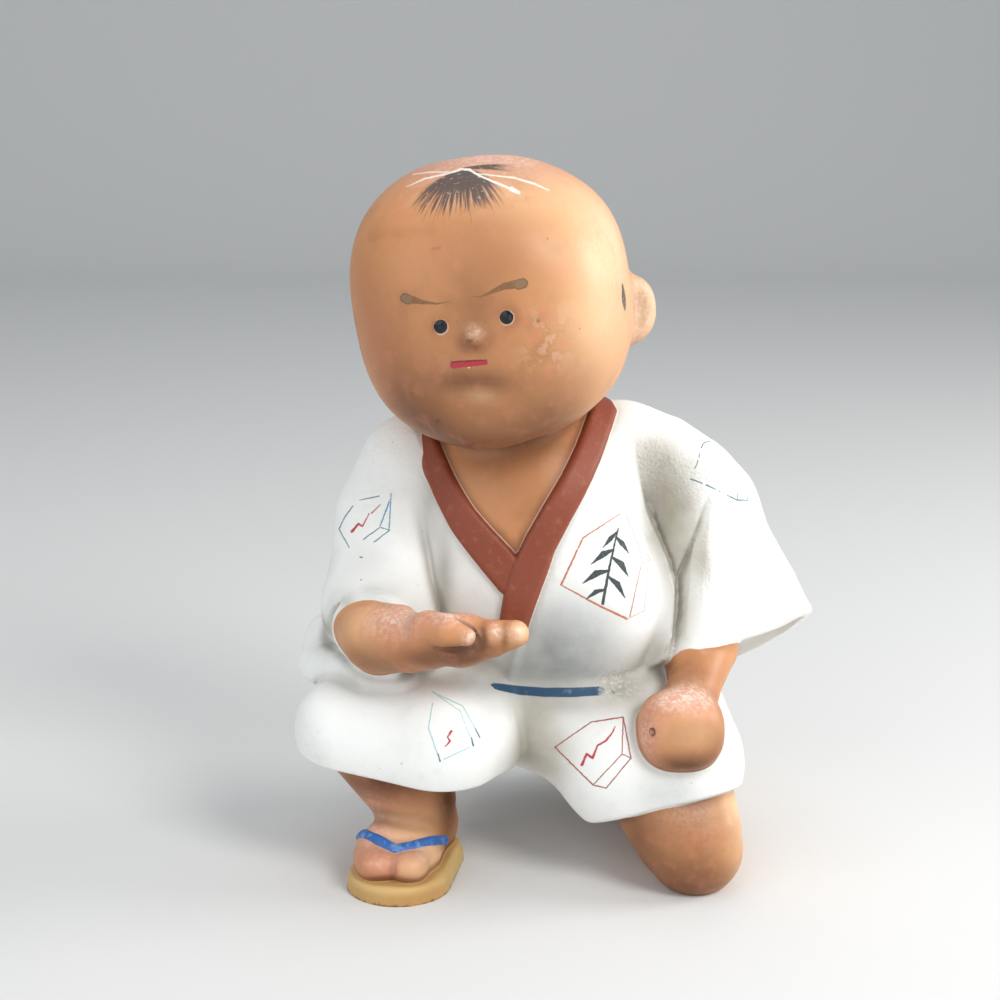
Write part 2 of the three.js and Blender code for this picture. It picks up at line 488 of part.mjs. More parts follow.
// A closed mesh with edges folded away until few triangles are left. Each fold is the one that moves the surface
// least, by the squared distances to the planes of the triangles that were there.
function thinned(mesh, goal) {
  const P = Float64Array.from(mesh.places);
  const T = Int32Array.from(mesh.triangles);
  const count = P.length / 3;
  const around = Array.from({ length: count }, () => []);
  const Q = new Float64Array(count * 10);
  const normalAt = (a, b, c, swap, x, y, z) => {
    const ax = a === swap ? x : P[3 * a], ay = a === swap ? y : P[3 * a + 1], az = a === swap ? z : P[3 * a + 2];
    const bx = b === swap ? x : P[3 * b], by = b === swap ? y : P[3 * b + 1], bz = b === swap ? z : P[3 * b + 2];
    const cx = c === swap ? x : P[3 * c], cy = c === swap ? y : P[3 * c + 1], cz = c === swap ? z : P[3 * c + 2];
    const ux = bx - ax, uy = by - ay, uz = bz - az, vx = cx - ax, vy = cy - ay, vz = cz - az;
    return [uy * vz - uz * vy, uz * vx - ux * vz, ux * vy - uy * vx];
  };
  for (let t = 0; t < T.length; t += 3) {
    const [a, b, c] = [T[t], T[t + 1], T[t + 2]];
    const n = normalAt(a, b, c, -1, 0, 0, 0);
    const area = Math.hypot(...n);
    for (const v of [a, b, c]) around[v].push(t);
    if (area < 1e-12) continue;
    const [nx, ny, nz] = n.map((value) => value / area);
    const d = -(nx * P[3 * a] + ny * P[3 * a + 1] + nz * P[3 * a + 2]);
    const terms = [nx * nx, nx * ny, nx * nz, nx * d, ny * ny, ny * nz, ny * d, nz * nz, nz * d, d * d];
    for (const v of [a, b, c]) for (let i = 0; i < 10; i++) Q[10 * v + i] += terms[i] * area;
  }
  const errorAt = (q, x, y, z) =>
    q[0] * x * x + 2 * q[1] * x * y + 2 * q[2] * x * z + 2 * q[3] * x + q[4] * y * y + 2 * q[5] * y * z +
    2 * q[6] * y + q[7] * z * z + 2 * q[8] * z + q[9];
  const stamp = new Int32Array(count);
  const gone = new Uint8Array(count);
  // The heap of folds, the cheapest first.
  const heap = [];
  const push = (item) => {
    let i = heap.push(item) - 1;
    while (i > 0) {
      const up = (i - 1) >> 1;
      if (heap[up].cost <= heap[i].cost) break;
      [heap[up], heap[i]] = [heap[i], heap[up]];
      i = up;
    }
  };
  const pop = () => {
    const top = heap[0], last = heap.pop();
    if (heap.length) {
      heap[0] = last;
      for (let i = 0; ; ) {
        let least = 2 * i + 1;
        if (least >= heap.length) break;
        if (least + 1 < heap.length && heap[least + 1].cost < heap[least].cost) least++;
        if (heap[i].cost <= heap[least].cost) break;
        [heap[least], heap[i]] = [heap[i], heap[least]];
        i = least;
      }
    }
    return top;
  };
  const consider = (a, b) => {
    const q = new Float64Array(10);
    for (let i = 0; i < 10; i++) q[i] = Q[10 * a + i] + Q[10 * b + i];
    const middle = [0, 1, 2].map((i) => (P[3 * a + i] + P[3 * b + i]) / 2);
    const long2 = [0, 1, 2].reduce((sum, i) => sum + (P[3 * a + i] - P[3 * b + i]) ** 2, 0);
    // The place of least error, held near the edge by a weak pull to its middle.
    const pull = 1e-3 * (q[0] + q[4] + q[7]) + 1e-9;
    const m = new THREE.Matrix3().set(q[0] + pull, q[1], q[2], q[1], q[4] + pull, q[5], q[2], q[5], q[7] + pull);
    const target = new THREE.Vector3(
      -q[3] + pull * middle[0], -q[6] + pull * middle[1], -q[8] + pull * middle[2],
    ).applyMatrix3(m.invert());
    let spot = [target.x, target.y, target.z];
    const off2 = spot.reduce((sum, value, i) => sum + (value - middle[i]) ** 2, 0);
    if (!(off2 < long2)) spot = middle;
    const cost = Math.max(errorAt(q, ...spot), 0) + 2e-4 * long2 * long2 / 16;
    push({ cost, a, b, spot, mark: stamp[a] + stamp[b] });
  };
  const ring = (v) => {
    const set = new Set();
    for (const t of around[v]) for (let i = 0; i < 3; i++) if (T[t + i] !== v) set.add(T[t + i]);
    return set;
  };
  for (let t = 0; t < T.length; t += 3)
    for (let i = 0; i < 3; i++) {
      const a = T[t + i], b = T[t + ((i + 1) % 3)];
      if (a < b) consider(a, b);
    }
  const keepsFacing = (v, other, spot) => {
    for (const t of around[v]) {
      const [a, b, c] = [T[t], T[t + 1], T[t + 2]];
      if (a === other || b === other || c === other) continue;
      const before = normalAt(a, b, c, -1, 0, 0, 0), after = normalAt(a, b, c, v, ...spot);
      const dot = before[0] * after[0] + before[1] * after[1] + before[2] * after[2];
      const size = Math.hypot(...after);
      if (dot < 0.35 * Math.hypot(...before) * size || size < 1e-4) return false;
    }
    return true;
  };
  let left = T.length / 3;
  while (left > goal && heap.length) {
    const { a, b, spot, mark } = pop();
    if (gone[a] || gone[b] || mark !== stamp[a] + stamp[b]) continue;
    const ringA = ring(a), ringB = ring(b);
    let shared = 0;
    for (const v of ringA) if (ringB.has(v)) shared++;
    if (shared !== 2 || !ringB.has(a)) continue;
    if (!keepsFacing(a, b, spot) || !keepsFacing(b, a, spot)) continue;
    for (let i = 0; i < 3; i++) P[3 * a + i] = spot[i];
    for (let i = 0; i < 10; i++) Q[10 * a + i] += Q[10 * b + i];
    gone[b] = 1;
    for (const t of around[b]) {
      const corners = [T[t], T[t + 1], T[t + 2]];
      if (corners.includes(a)) {
        for (const v of corners) if (v !== b) around[v] = around[v].filter((other) => other !== t);
        T[t] = -1;
        left--;
      } else {
        T[t + corners.indexOf(b)] = a;
        around[a].push(t);
      }
    }
    around[b] = [];
    stamp[a]++;
    for (const v of ring(a)) consider(Math.min(a, v), Math.max(a, v));
  }
  return packed(P, Array.from(T).filter((_, i) => T[i - (i % 3)] >= 0));
}

// The doll's surface, down to a little under the ground, then cut off flat at the ground.
const aboveGround = (x, y, z) => Math.max(figureForm(x, y, z), -2.5 - z);
const box = { low: [-82, -66, -9], high: [82, 66, 190] };
const fine = surfaceOf(aboveGround, box.low.map((n) => n * step), box.high.map((n) => n * step), gridStep * step);
const coarse = thinned(outerSkin(fine), triangleGoal);
const solidFrom = (places, triangles) => new wasm.Manifold(new wasm.Mesh({
  numProp: 3,
  vertProperties: new Float32Array(places),
  triVerts: new Uint32Array(triangles),
}));
const ground = new THREE.BoxGeometry(400 * step, 400 * step, 60 * step).translate(0, 0, -30 * step);
ground.deleteAttribute("normal");
ground.deleteAttribute("uv");
const earth = mergeVertices(ground);
const cut = solidFrom(coarse.places, coarse.triangles)
  .subtract(solidFrom(earth.attributes.position.array, earth.index.array))
  .getMesh();
const solid = outerSkin({ places: Array.from(cut.vertProperties), triangles: Array.from(cut.triVerts) });

const geometry = new THREE.BufferGeometry();
geometry.setAttribute("position", new THREE.Float32BufferAttribute(solid.places, 3));
geometry.setIndex(solid.triangles);
geometry.computeBoundingBox();
const middle = geometry.boundingBox.getCenter(new THREE.Vector3());
geometry.translate(-middle.x, -middle.y, 0);

const figure = new THREE.Mesh(geometry, new THREE.MeshStandardMaterial({ color: 0xe9e2d4, roughness: 0.8 }));
figure.name = "figure";
const root = new THREE.Group();
root.add(figure);
export default root;
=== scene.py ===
"""A kneeling boy, a clay doll painted by hand: its fine surface, its paint and its brush marks.

The forms are given in millimetres, +Z up, with the doll looking towards -Y. Right and left are the doll's
own. The finished piece is in metres, over the middle of the solid that it stands for.
"""

import logging
import math
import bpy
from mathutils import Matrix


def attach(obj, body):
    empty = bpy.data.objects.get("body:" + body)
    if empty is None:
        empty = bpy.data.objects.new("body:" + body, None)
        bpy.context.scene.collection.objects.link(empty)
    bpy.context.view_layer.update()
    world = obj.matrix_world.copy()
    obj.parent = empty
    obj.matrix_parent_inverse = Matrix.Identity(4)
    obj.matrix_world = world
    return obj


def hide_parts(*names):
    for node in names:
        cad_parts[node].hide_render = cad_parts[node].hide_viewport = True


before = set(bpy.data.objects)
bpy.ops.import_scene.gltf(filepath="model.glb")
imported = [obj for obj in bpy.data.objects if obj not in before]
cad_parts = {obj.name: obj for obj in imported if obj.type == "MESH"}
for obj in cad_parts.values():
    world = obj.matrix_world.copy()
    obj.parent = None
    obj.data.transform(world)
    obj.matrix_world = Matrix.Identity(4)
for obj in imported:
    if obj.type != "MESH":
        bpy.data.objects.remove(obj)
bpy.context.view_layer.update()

from concurrent.futures import ThreadPoolExecutor
from dataclasses import dataclass, field
from enum import Enum
from typing import Callable, Sequence

import bpy
import numpy as np
from mathutils import Matrix, Vector

log = logging.getLogger("doll")

Array = np.ndarray
Form = Callable[[Array], Array]
Pair = tuple[float, float]
Triple = tuple[float, float, float]
Stop = tuple[float, float, float, float]

MILLIMETRE = 0.001
# The middle of the solid's box, in the frame that the forms are given in.
SOLID_MIDDLE = np.array([1.1239, -2.6842, 0.0])


# What a length, a slope and a slope's square are kept above before something is divided by them.
TINY = 1e-6
LEAST_SLOPE = 1e-3
LEAST_STEEPNESS = 1e-2


# Forms. Each gives, for rows of places, a number that is negative inside the form and outside it about the
# distance.


def turning(turn: Triple) -> Array:
    """The matrix of a turn: about X first, then about Z, then about Y.

    Args:
        turn: The three turns about X, Y and Z in degrees.

    Returns:
        The 3 by 3 matrix whose columns are the turned axes.
    """
    x, y, z = (math.radians(angle) for angle in turn)
    about_x = Matrix.Rotation(x, 3, "X")
    about_y = Matrix.Rotation(y, 3, "Y")
    about_z = Matrix.Rotation(z, 3, "Z")
    return np.array(about_y @ about_z @ about_x)


@dataclass(frozen=True)
class Blob:
    """A ball drawn out to three radii, squarer than an ellipsoid where its power is over 2.

    With q the place from the centre along the turned axes, each over its radius, and k the power mean of q,
    the distance is k - 1 over the steepness of k.
    """

    centre: Triple
    radii: Triple
    turn: Triple = (0, 0, 0)
    power: float = 2.0

    def __call__(self, p: Array) -> Array:
        """The distance at each place.

        Args:
            p: Rows of places in millimetres.

        Returns:
            The distances, negative inside.
        """
        q = np.abs((p - np.array(self.centre)) @ turning(self.turn)) / np.array(self.radii)
        if self.power == 2.0:
            k = np.maximum(np.sqrt((q * q).sum(1)), TINY)
            slope = np.sqrt(((q / self.radii) ** 2).sum(1)) / k
        else:
            k = np.maximum((q**self.power).sum(1) ** (1 / self.power), TINY)
            slope = np.sqrt((((q / k[:, None]) ** (self.power - 1) / self.radii) ** 2).sum(1))
        return (k - 1) / np.maximum(slope, LEAST_SLOPE)


def to_stretch(p: Array, start: Array, end: Array) -> tuple[Array, Array]:
    """The nearest place on a straight stretch.

    Args:
        p: Rows of places.
        start: The stretch's one end.
        end: Its other end.

    Returns:
        For each place the distance squared to the stretch, and the share along it where it is nearest.
    """
    along = end - start
    away = p - start
    t = np.clip(away @ along / (along @ along), 0, 1)
    away -= t[:, None] * along
    return (away * away).sum(1), t


@dataclass(frozen=True)
class Limb:
    """A round limb through a few stops, each a place and its radius there.

    The distance is the least, over its straight stretches, of the distance to the stretch's line less the
    radius at the nearest place on it.
    """

    stops: Sequence[Stop]

    def __call__(self, p: Array) -> Array:
        """The distance at each place.

        Args:
            p: Rows of places in millimetres.

        Returns:
            The distances, negative inside.
        """
        nearest = np.full(len(p), np.inf)
        for first, second in zip(self.stops, self.stops[1:]):
            reach, t = to_stretch(p, np.array(first[:3]), np.array(second[:3]))
            radius = first[3] + t * (second[3] - first[3])
            np.minimum(nearest, np.sqrt(reach) - radius, out=nearest)
        return nearest


@dataclass(frozen=True)
class Pad:
    """A rounded triangular pad between three corners, each a place and half the pad's thickness there.

    The distance is that to the nearest place of the triangle, less the half thickness there.
    """

    corners: tuple[Stop, Stop, Stop]

    def __call__(self, p: Array) -> Array:
        """The distance at each place.

        Args:
            p: Rows of places in millimetres.

        Returns:
            The distances, negative inside.
        """
        a, b, c = (np.array(corner[:3]) for corner in self.corners)
        ra, rb, rc = (corner[3] for corner in self.corners)
        u, v, w = b - a, c - a, p - a
        uu, uv, vv = u @ u, u @ v, v @ v
        wu, wv = w @ u, w @ v
        share_b = (vv * wu - uv * wv) / (uu * vv - uv * uv)
        share_c = (uu * wv - uv * wu) / (uu * vv - uv * uv)
        off = w - share_b[:, None] * u - share_c[:, None] * v
        over = (share_b >= 0) & (share_c >= 0) & (share_b + share_c <= 1)
        gap = np.where(over, (off * off).sum(1), np.inf)
        half = ra + share_b * (rb - ra) + share_c * (rc - ra)
        for start, end, r, s in ((a, b, ra, rb), (b, c, rb, rc), (c, a, rc, ra)):
            reach, t = to_stretch(p, start, end)
            closer = reach < gap
            gap = np.where(closer, reach, gap)
            half = np.where(closer, r + t * (s - r), half)
        return np.sqrt(gap) - half


@dataclass(frozen=True)
class Side:
    """Everything on the side of a plane that its normal points away from."""

    place: Triple
    normal: Triple

    def __call__(self, p: Array) -> Array:
        """The distance at each place: the place from the plane's, along the plane's normal."""
        n = np.array(self.normal) / np.linalg.norm(self.normal)
        return p @ n - n @ np.array(self.place)


def smooth_min(a: Array, b: Array, width: float) -> Array:
    """The lesser of two distances, less (width - |a - b|)^2 / (4 width) where width is over |a - b|."""
    h = np.maximum(width - np.abs(a - b), 0)
    return np.minimum(a, b) - h * h / (4 * width)


def melted(width: float, *distances: Array) -> Array:
    """Distances to forms joined with a fillet of about the given width between them.

    Args:
        width: About how wide the fillets are.
        distances: Each form's distances at the same places.

    Returns:
        The distances to them all as one form.
    """
    joined = distances[0]
    for other in distances[1:]:
        joined = smooth_min(joined, other, width)
    return joined


def within(width: float, distance: Array, bound: Array) -> Array:
    """Distances to the part of a form that lies inside another, with a rounded edge."""
    return -smooth_min(-distance, -bound, width)


def carved(width: float, distance: Array, tool: Array) -> Array:
    """Distances to a form with another taken away, with a rounded edge."""
    return -smooth_min(-distance, tool, width)


def melt(width: float, *forms: Form) -> Form:
    """A form made of several, joined with a fillet of about the given width."""
    return lambda p: melted(width, *(form(p) for form in forms))


def near(p: Array, low: Triple, high: Triple, form: Form, reach: float = 16.0) -> Array:
    """A form's distances, worked out only near its box.

    Args:
        p: Rows of places.
        low: The box's lowest corner.
        high: The box's highest corner.
        form: The form inside the box.
        reach: How far outside the box the form itself is asked.

    Returns:
        The form's distances near the box, and elsewhere the distance to the box.
    """
    outside = np.maximum(np.maximum(np.array(low) - p, p - np.array(high)), 0)
    distance = np.sqrt((outside * outside).sum(1))
    close = distance < reach
    distance[close] = form(p[close])
    return distance


def pressed(
    p: Array, stops: Sequence[Stop], edge: float = 0.9, back: float = -3.0, fade: float = 3.0
) -> Array:
    """How deep a fold on the front is pressed in.

    Each stop gives a height z, the fold's line x there, its depth D and its width w. With u = x - line, the
    depth is D (1 - u / w) where u is over 0, and none where it is under 0.

    Args:
        p: Rows of places in millimetres.
        stops: The stops, upwards.
        edge: The width over which the depth sets in at the line.
        back: The y behind which there is no fold.
        fade: The length in front of it over which the depth sets in.

    Returns:
        The depth at each place.
    """
    heights = [stop[0] for stop in stops]
    line, depth, width = (np.interp(p[:, 2], heights, [stop[k] for stop in stops]) for k in (1, 2, 3))
    along = p[:, 0] - line
    slant = np.clip(1 - along / width, 0, 1) * np.clip(0.5 + along / edge, 0, 1)
    return depth * slant * np.clip((back - p[:, 1]) / fade, 0, 1)


def slope_of(form: Form, p: Array, reach: float = 0.04) -> tuple[Array, Array]:
    """A form's distance and the direction in which it grows.

    The form is asked at the four corners of a small tetrahedron round each place. The mean of the four is
    the distance, and their sum along the corners' directions over four times the reach is the slope.

    Args:
        form: The form.
        p: Rows of places.
        reach: The tetrahedron's half width in millimetres.

    Returns:
        The distances, and the slopes as rows.
    """
    corners = np.array([[1, -1, -1], [-1, -1, 1], [-1, 1, -1], [1, 1, 1]], float)
    values = [form(p + reach * corner) for corner in corners]
    slope = sum(value[:, None] * corner for value, corner in zip(values, corners)) / (4 * reach)
    return sum(values) / 4, slope


def onto_surface(form: Form, p: Array, steps: int, most: float) -> Array:
    """Places moved onto a form's surface, along the slope and by the distance over its square.

    Args:
        form: The form.
        p: Rows of places near its surface.
        steps: How often each place is moved.
        most: The most of that share in one step.

    Returns:
        The moved places.
    """
    for _ in range(steps):
        distance, slope = slope_of(form, p)
        steep = np.maximum((slope * slope).sum(1), LEAST_STEEPNESS)
        p = p - np.clip(distance / steep, -most, most)[:, None] * slope
    return p


def laid_on(form: Form, stops: Sequence[Stop]) -> list[Stop]:
    """The stops of a limb laid onto a form's surface."""
    p = onto_surface(form, np.array([stop[:3] for stop in stops], float), steps=8, most=4)
    return [(*place, stop[3]) for place, stop in zip(p.tolist(), stops)]


# The doll's parts.


@dataclass
class Head:
    """The shaven head with its ears, nose, cheeks and chin, and the neck."""

    middle: Triple = (-15.8, -10.0, 143.4)
    turn: Triple = (6, -8, -10)
    width: float = 69.2
    height: float = 75.0
    depth: float = 69.0
    nose_radii: Triple = (2.5, 3.0, 2.6)
    ear_radii: Triple = (8.0, 3.4, 9.0)
    ear_turn: float = 30.0
    eyes: Sequence[Triple] = ((-27.5, -42.7, 144.0), (-12.2, -44.9, 146.4))
    eye_radii: Triple = (1.95, 0.75, 1.95)

    def at(self, x: float, y: float, z: float) -> Triple:
        """A place given from the head's middle along its own axes, in the doll's frame."""
        return tuple((np.array(self.middle) + turning(self.turn) @ np.array([x, y, z])).tolist())

    def mirrored(self, place: Triple) -> Triple:
        """The place on the head's other side.

        Args:
            place: A place in the doll's frame.

        Returns:
            Its mirror image across the head's middle.
        """
        across = turning(self.turn)[:, 0]
        away = np.array(place) - np.array(self.middle)
        return tuple((np.array(place) - 2 * (away @ across) * across).tolist())

    def ear(self, side: int) -> Form:
        """One ear: a flat disc, turned out from the head, with a bowl pressed into its front.

        Args:
            side: -1 for the right ear, 1 for the left one.

        Returns:
            The ear's form.
        """
        turn = (self.turn[0], self.turn[1], self.turn[2] + side * self.ear_turn)
        disc = Blob(self.at(side * 31.4, 13.2, -8), self.ear_radii, turn, 2.2)
        bowl = Blob(self.at(side * 34.8, 9.9, -7.5), (4.4, 2.4, 5.6), turn)
        return lambda p: carved(1.5, disc(p), bowl(p))

    def form(self) -> Form:
        """The head's form without the neck.

        Returns:
            The form.
        """
        a, b, c = self.width / 2, self.depth / 2, self.height / 2
        skull = melt(
            14,
            Blob(self.at(-4.1, 0, 3.7), (a - 6.7, b - 3.6, c - 5.5), self.turn, 2.67),
            Blob(self.at(5.4, -0.5, 1), (a - 5.8, b - 4.2, c - 9.2), self.turn, 2.8),
        )
        cheeks = melt(
            10,
            Blob(self.at(-6.5, -20.5, -13), (10.5, 12.5, 11.5), self.turn),
            Blob(self.at(11, -20.5, -13), (12.5, 12.5, 11.5), self.turn),
        )
        chin = Blob(self.at(0.5, -26.5, -20), (8.5, 6, 5.5), self.turn)
        nose = Blob(self.at(1.7, -33.5, 2.4), self.nose_radii, self.turn)
        ears = (self.ear(-1), self.ear(1))
        eyes = [Blob(eye, self.eye_radii, self.turn) for eye in self.eyes]

        def head(p: Array) -> Array:
            """Skull, cheeks and chin melted together, then the nose, the ears and the domes of the eyes."""
            face = melted(2, melted(8, skull(p), cheeks(p), chin(p)), nose(p))
            return melted(0.2, melted(3, face, ears[0](p), ears[1](p)), eyes[0](p), eyes[1](p))

        return head

    def neck(self) -> Form:
        """The neck, down into the coat's opening."""
        return Limb([(-12, -3, 114, 17.5), (-9, -3, 90, 20)])


@dataclass
class Coat:
    """The short coat: its trunk with the collar, two wide sleeves, and the skirt over the thighs."""

    collar_relief: float = 1.1
    band_edge: float = 1.2
    lap_over: float = 0.4
    chest_depth: float = 0.9
    hem_edge: float = 1.2
    sleeve_wall: float = 2.6
    cuff_middle: Triple = (-43.8, -26.6, 64.0)
    cuff_radius: float = 10.2
    cuff_across: Triple = (-0.914, 0.406, 0.0)
    cuff_up: Triple = (0.0, 0.09, 1.0)
    cuff_roll: float = 0.95
    # The fold beside the trunk and the sleeve's pleat: height, line, depth and width.
    armpit: Sequence[Stop] = (
        (54, 27, 0, 3), (57, 28, 0.6, 3), (61, 30, 1.2, 3), (68, 30.8, 2, 3), (72.7, 30.6, 2.8, 3.6),
        (78.6, 29.3, 3.4, 5.4), (84.4, 26.8, 3.5, 9), (91.6, 23.6, 3, 12.5), (99.6, 21.6, 2, 11),
        (107, 20.2, 0.8, 8), (111, 19, 0, 4),
    )
    pleat: Sequence[Stop] = (
        (55, 29, 1.2, 7), (60, 30, 1.6, 6.4), (70.5, 30.9, 2.5, 6.6), (75, 31.2, 2.7, 6.4),
        (79.4, 32.9, 2.6, 5.5), (87.5, 36.2, 1.8, 3.2), (94, 38.7, 0.5, 1.5), (96, 39, 0, 1.5),
    )
    right_band: Sequence[Stop] = (
        (-11.2, -32, 66.8, 3.6), (-8.8, -30, 74.4, 4.1), (-6.4, -28, 81, 4.3), (-3.9, -26, 87.5, 3.9),
        (-0.6, -22, 94.5, 3.8), (2.7, -18, 100, 3.6), (6.1, -14, 105.5, 3.5), (9.4, -8, 111, 3.4),
        (12.4, -2, 115.5, 3.3),
    )
    nape_band: Sequence[Stop] = (
        (12.4, -2, 115.5, 3.3), (11, 7, 116, 3.3), (5, 15, 114.5, 3.3), (-5, 19, 113, 3.3),
        (-16, 19, 112, 3.3), (-26, 14, 111.5, 3.3), (-32, 5, 111.5, 3.2), (-34.5, -5, 110, 3.2),
    )
    lapel: Sequence[Stop] = ((-8.6, -29, 62, 0.6), (-10, -28.3, 57, 0.9), (-12, -27, 51.5, 0.8))
    left_band: Sequence[Stop] = (
        (-34.5, -5, 110, 3.2), (-31.4, -10, 107, 3.3), (-28.4, -15, 102.5, 3.5), (-25.4, -19, 97.8, 3.8),
        (-22, -22, 92.5, 4.1), (-18, -25.5, 87.2, 4.3), (-14.4, -27.5, 83, 4.4), (-11, -29, 79, 4.3),
    )

    def torso(self) -> Form:
        """The trunk and the two shoulders.

        Returns:
            The form, with the lapel laid onto it.
        """
        trunk = melt(
            10,
            Limb([(1, 3, 52, 27), (0, 1, 74, 28.5), (-5, 0, 91, 28)]),
            Limb([(-32, 3, 98, 13.5), (-12, 4, 98, 15), (18, 5, 101, 14.5)]),
            Blob((1, -8, 66), (28.5, 23, 19)),
            Limb([(-18, -9, 95, 12.5), (-18.5, -10.5, 78, 13)]),
            Limb([(-11, 3, 98, 18), (-10.5, 2, 106, 18)]),
        )
        return melt(1.6, trunk, Limb(laid_on(trunk, self.lapel)))

    def opening(self, p: Array) -> Array:
        """The wedge that the coat leaves open over the chest.

        Args:
            p: Rows of places in millimetres.

        Returns:
            The distances to the wedge, negative inside.
        """
        sides = within(
            0.2,
            Side((-24, -20, 95), (-0.8, -0.14, -0.58))(p),
            Side((-4, -26, 88), (0.88, -0.12, -0.45))(p),
        )
        return within(0.2, sides, Side((0, 4, 100), (0, 1, 0))(p))

    def bands(self, torso: Form) -> tuple[Form, Form]:
        """The collar's two bands, laid onto the trunk: the one that lies under, and the one over it."""
        under = Limb(laid_on(torso, self.nape_band) + laid_on(torso, self.left_band)[1:])
        return under, Limb(laid_on(torso, self.right_band))

    def right_sleeve(self) -> Form:
        """The raised arm's sleeve, open to the front, with the lip of its cuff hanging under the elbow.

        Returns:
            The form.
        """
        upper = melt(
            6,
            Limb([(-35.3, 3, 98.6, 15.5), (-42.8, 1, 88, 13.6), (-44.6, -1, 74, 13.2), (-46, -4, 62, 12.3)]),
            Limb([(-35, -1, 96, 11), (-37.5, -7.5, 82, 9.5), (-38, -14, 70, 9.5), (-37, -16, 60, 9)]),
            Limb([(-46.8, -8, 65.5, 12.4), (-43.6, -27, 64.2, 10.7)]),
        )
        mouth = Side((-46, -28, 72), (-0.4, -0.9, -0.1))
        hollow = Limb([(-54.2, -22.3, 71.6, 0.6), (-57, -19, 64, 2.6), (-58.5, -16, 58.5, 3.6)])
        around = np.linspace(0, 2 * math.pi, 17)[:, None]
        ring = np.cos(around) * np.array(self.cuff_across) + np.sin(around) * np.array(self.cuff_up)
        places = (np.array(self.cuff_middle) + self.cuff_radius * ring).tolist()
        roll = Limb([(*place, self.cuff_roll) for place in places])
        lip = Limb(
            [
                (-58.5, 4, 53, 7), (-60.8, -6, 49.4, 5.4), (-55, -15, 50, 5.4), (-45.5, -24, 50.8, 5.4),
                (-37, -27, 50, 4.4),
            ]
        )

        def sleeve(p: Array) -> Array:
            """The upper sleeve cut at its mouth, with the cuff's roll, hollowed and melted to the lip."""
            cut = melted(0.8, within(self.hem_edge, upper(p), mouth(p)), roll(p))
            return melted(1.5, carved(2, cut, hollow(p)), lip(p))

        return sleeve

    def left_sleeve(self) -> Form:
        """The lowered arm's sleeve, hanging to a point, hollow at its hem, with a pleat down its front.

        Returns:
            The form.
        """
        bulk = melt(
            5,
            Limb([(18, 5, 102, 14.5), (27, 5, 99.5, 13.9), (35, 5, 95, 13.2), (41, 4.5, 89, 11.7)]),
            Limb(
                [
                    (41, 4.5, 89, 11.7), (46, 4, 82, 10.3), (51, 3.5, 75.5, 8.9), (57, 3, 68, 7.5),
                    (63.5, 2, 60, 5.2),
                ]
            ),
            Pad(((32, 3, 90, 13), (60, 3, 58, 6), (36.5, -12, 50, 14))),
            Pad(((36, 4, 84, 12), (59.5, 5, 55, 6.4), (42, 6, 46, 11))),
        )
        hem = (Side((48.6, -8, 54.2), (0.286, -0.5, -1)), Side((48.6, -8, 54.2), (0.63, -0.6, -1)))
        rim = Side((48.6, -8, 59.2), (-0.4, 0.5, 1))
        inner = Side((33, -20, 52), (-0.9, -0.3, 0))

        def sleeve(p: Array) -> Array:
            """The bulk with its pleat, cut at the hem and hollowed to the wall's thickness.

            Args:
                p: Rows of places in millimetres.

            Returns:
                The distances, negative inside.
            """
            body = bulk(p)
            folded = body + pressed(p, self.pleat)
            solid = within(self.hem_edge, folded, within(3, hem[0](p), hem[1](p)))
            hollow = within(3, folded + self.sleeve_wall, within(2, rim(p), inner(p)))
            return carved(1, solid, hollow)

        return sleeve

    def skirt(self) -> Form:
        """The skirt: a lap over each thigh and the seat behind them.

        Returns:
            The form.
        """
        right = melt(
            4,
            Pad(((-52.8, -21, 37.8, 13.1), (-27, -28, 37, 15.2), (-12, 8, 42, 17))),
            Pad(((-27, -28, 37, 15.2), (-22, -25.5, 38.5, 13.4), (-12, 8, 42, 17))),
            Limb([(-50.5, -22.5, 34, 13.2), (-30, -28.4, 34, 15)]),
            Pad(((-18, -22, 46, 6.5), (-15.4, -27.4, 34.5, 6.5), (-28, -27, 38, 13.5))),
        )
        left = melt(
            5,
            Pad(((25.5, 8, 41, 17), (31.4, -20, 30, 16.7), (17.6, -24.5, 29.5, 16))),
            Pad(((24, 8, 40, 17), (17.6, -24.5, 29.5, 16), (3, -16, 38.5, 14.6))),
            Limb([(-14, -13, 40, 14), (3, -16.5, 38.5, 14.6)]),
            Limb([(20, -26.5, 27, 15), (32.5, -27.5, 28, 14.8)]),
        )
        seat = Blob((2, 13, 37), (33, 24.5, 24), power=2.6)
        right_hem = Side((-33, -44, 28.2), (-0.04, 0.15, -1))
        left_hem = Side((16, -40, 20), (0.259, -0.341, -1))
        seat_hem = Side((0, 30, 17), (0.05, -0.14, -1))

        def skirt(p: Array) -> Array:
            """The three parts cut at their hems and melted, the laps with a sharper crease in front.

            Args:
                p: Rows of places in millimetres.

            Returns:
                The distances, negative inside.
            """
            lap = within(self.hem_edge, left(p), left_hem(p))
            rear = within(self.hem_edge, seat(p), seat_hem(p))
            width = np.interp(p[:, 1], (-24, -6), (1.8, 7))
            return smooth_min(within(self.hem_edge, right(p), right_hem(p)), melted(7, lap, rear), width)

        return skirt


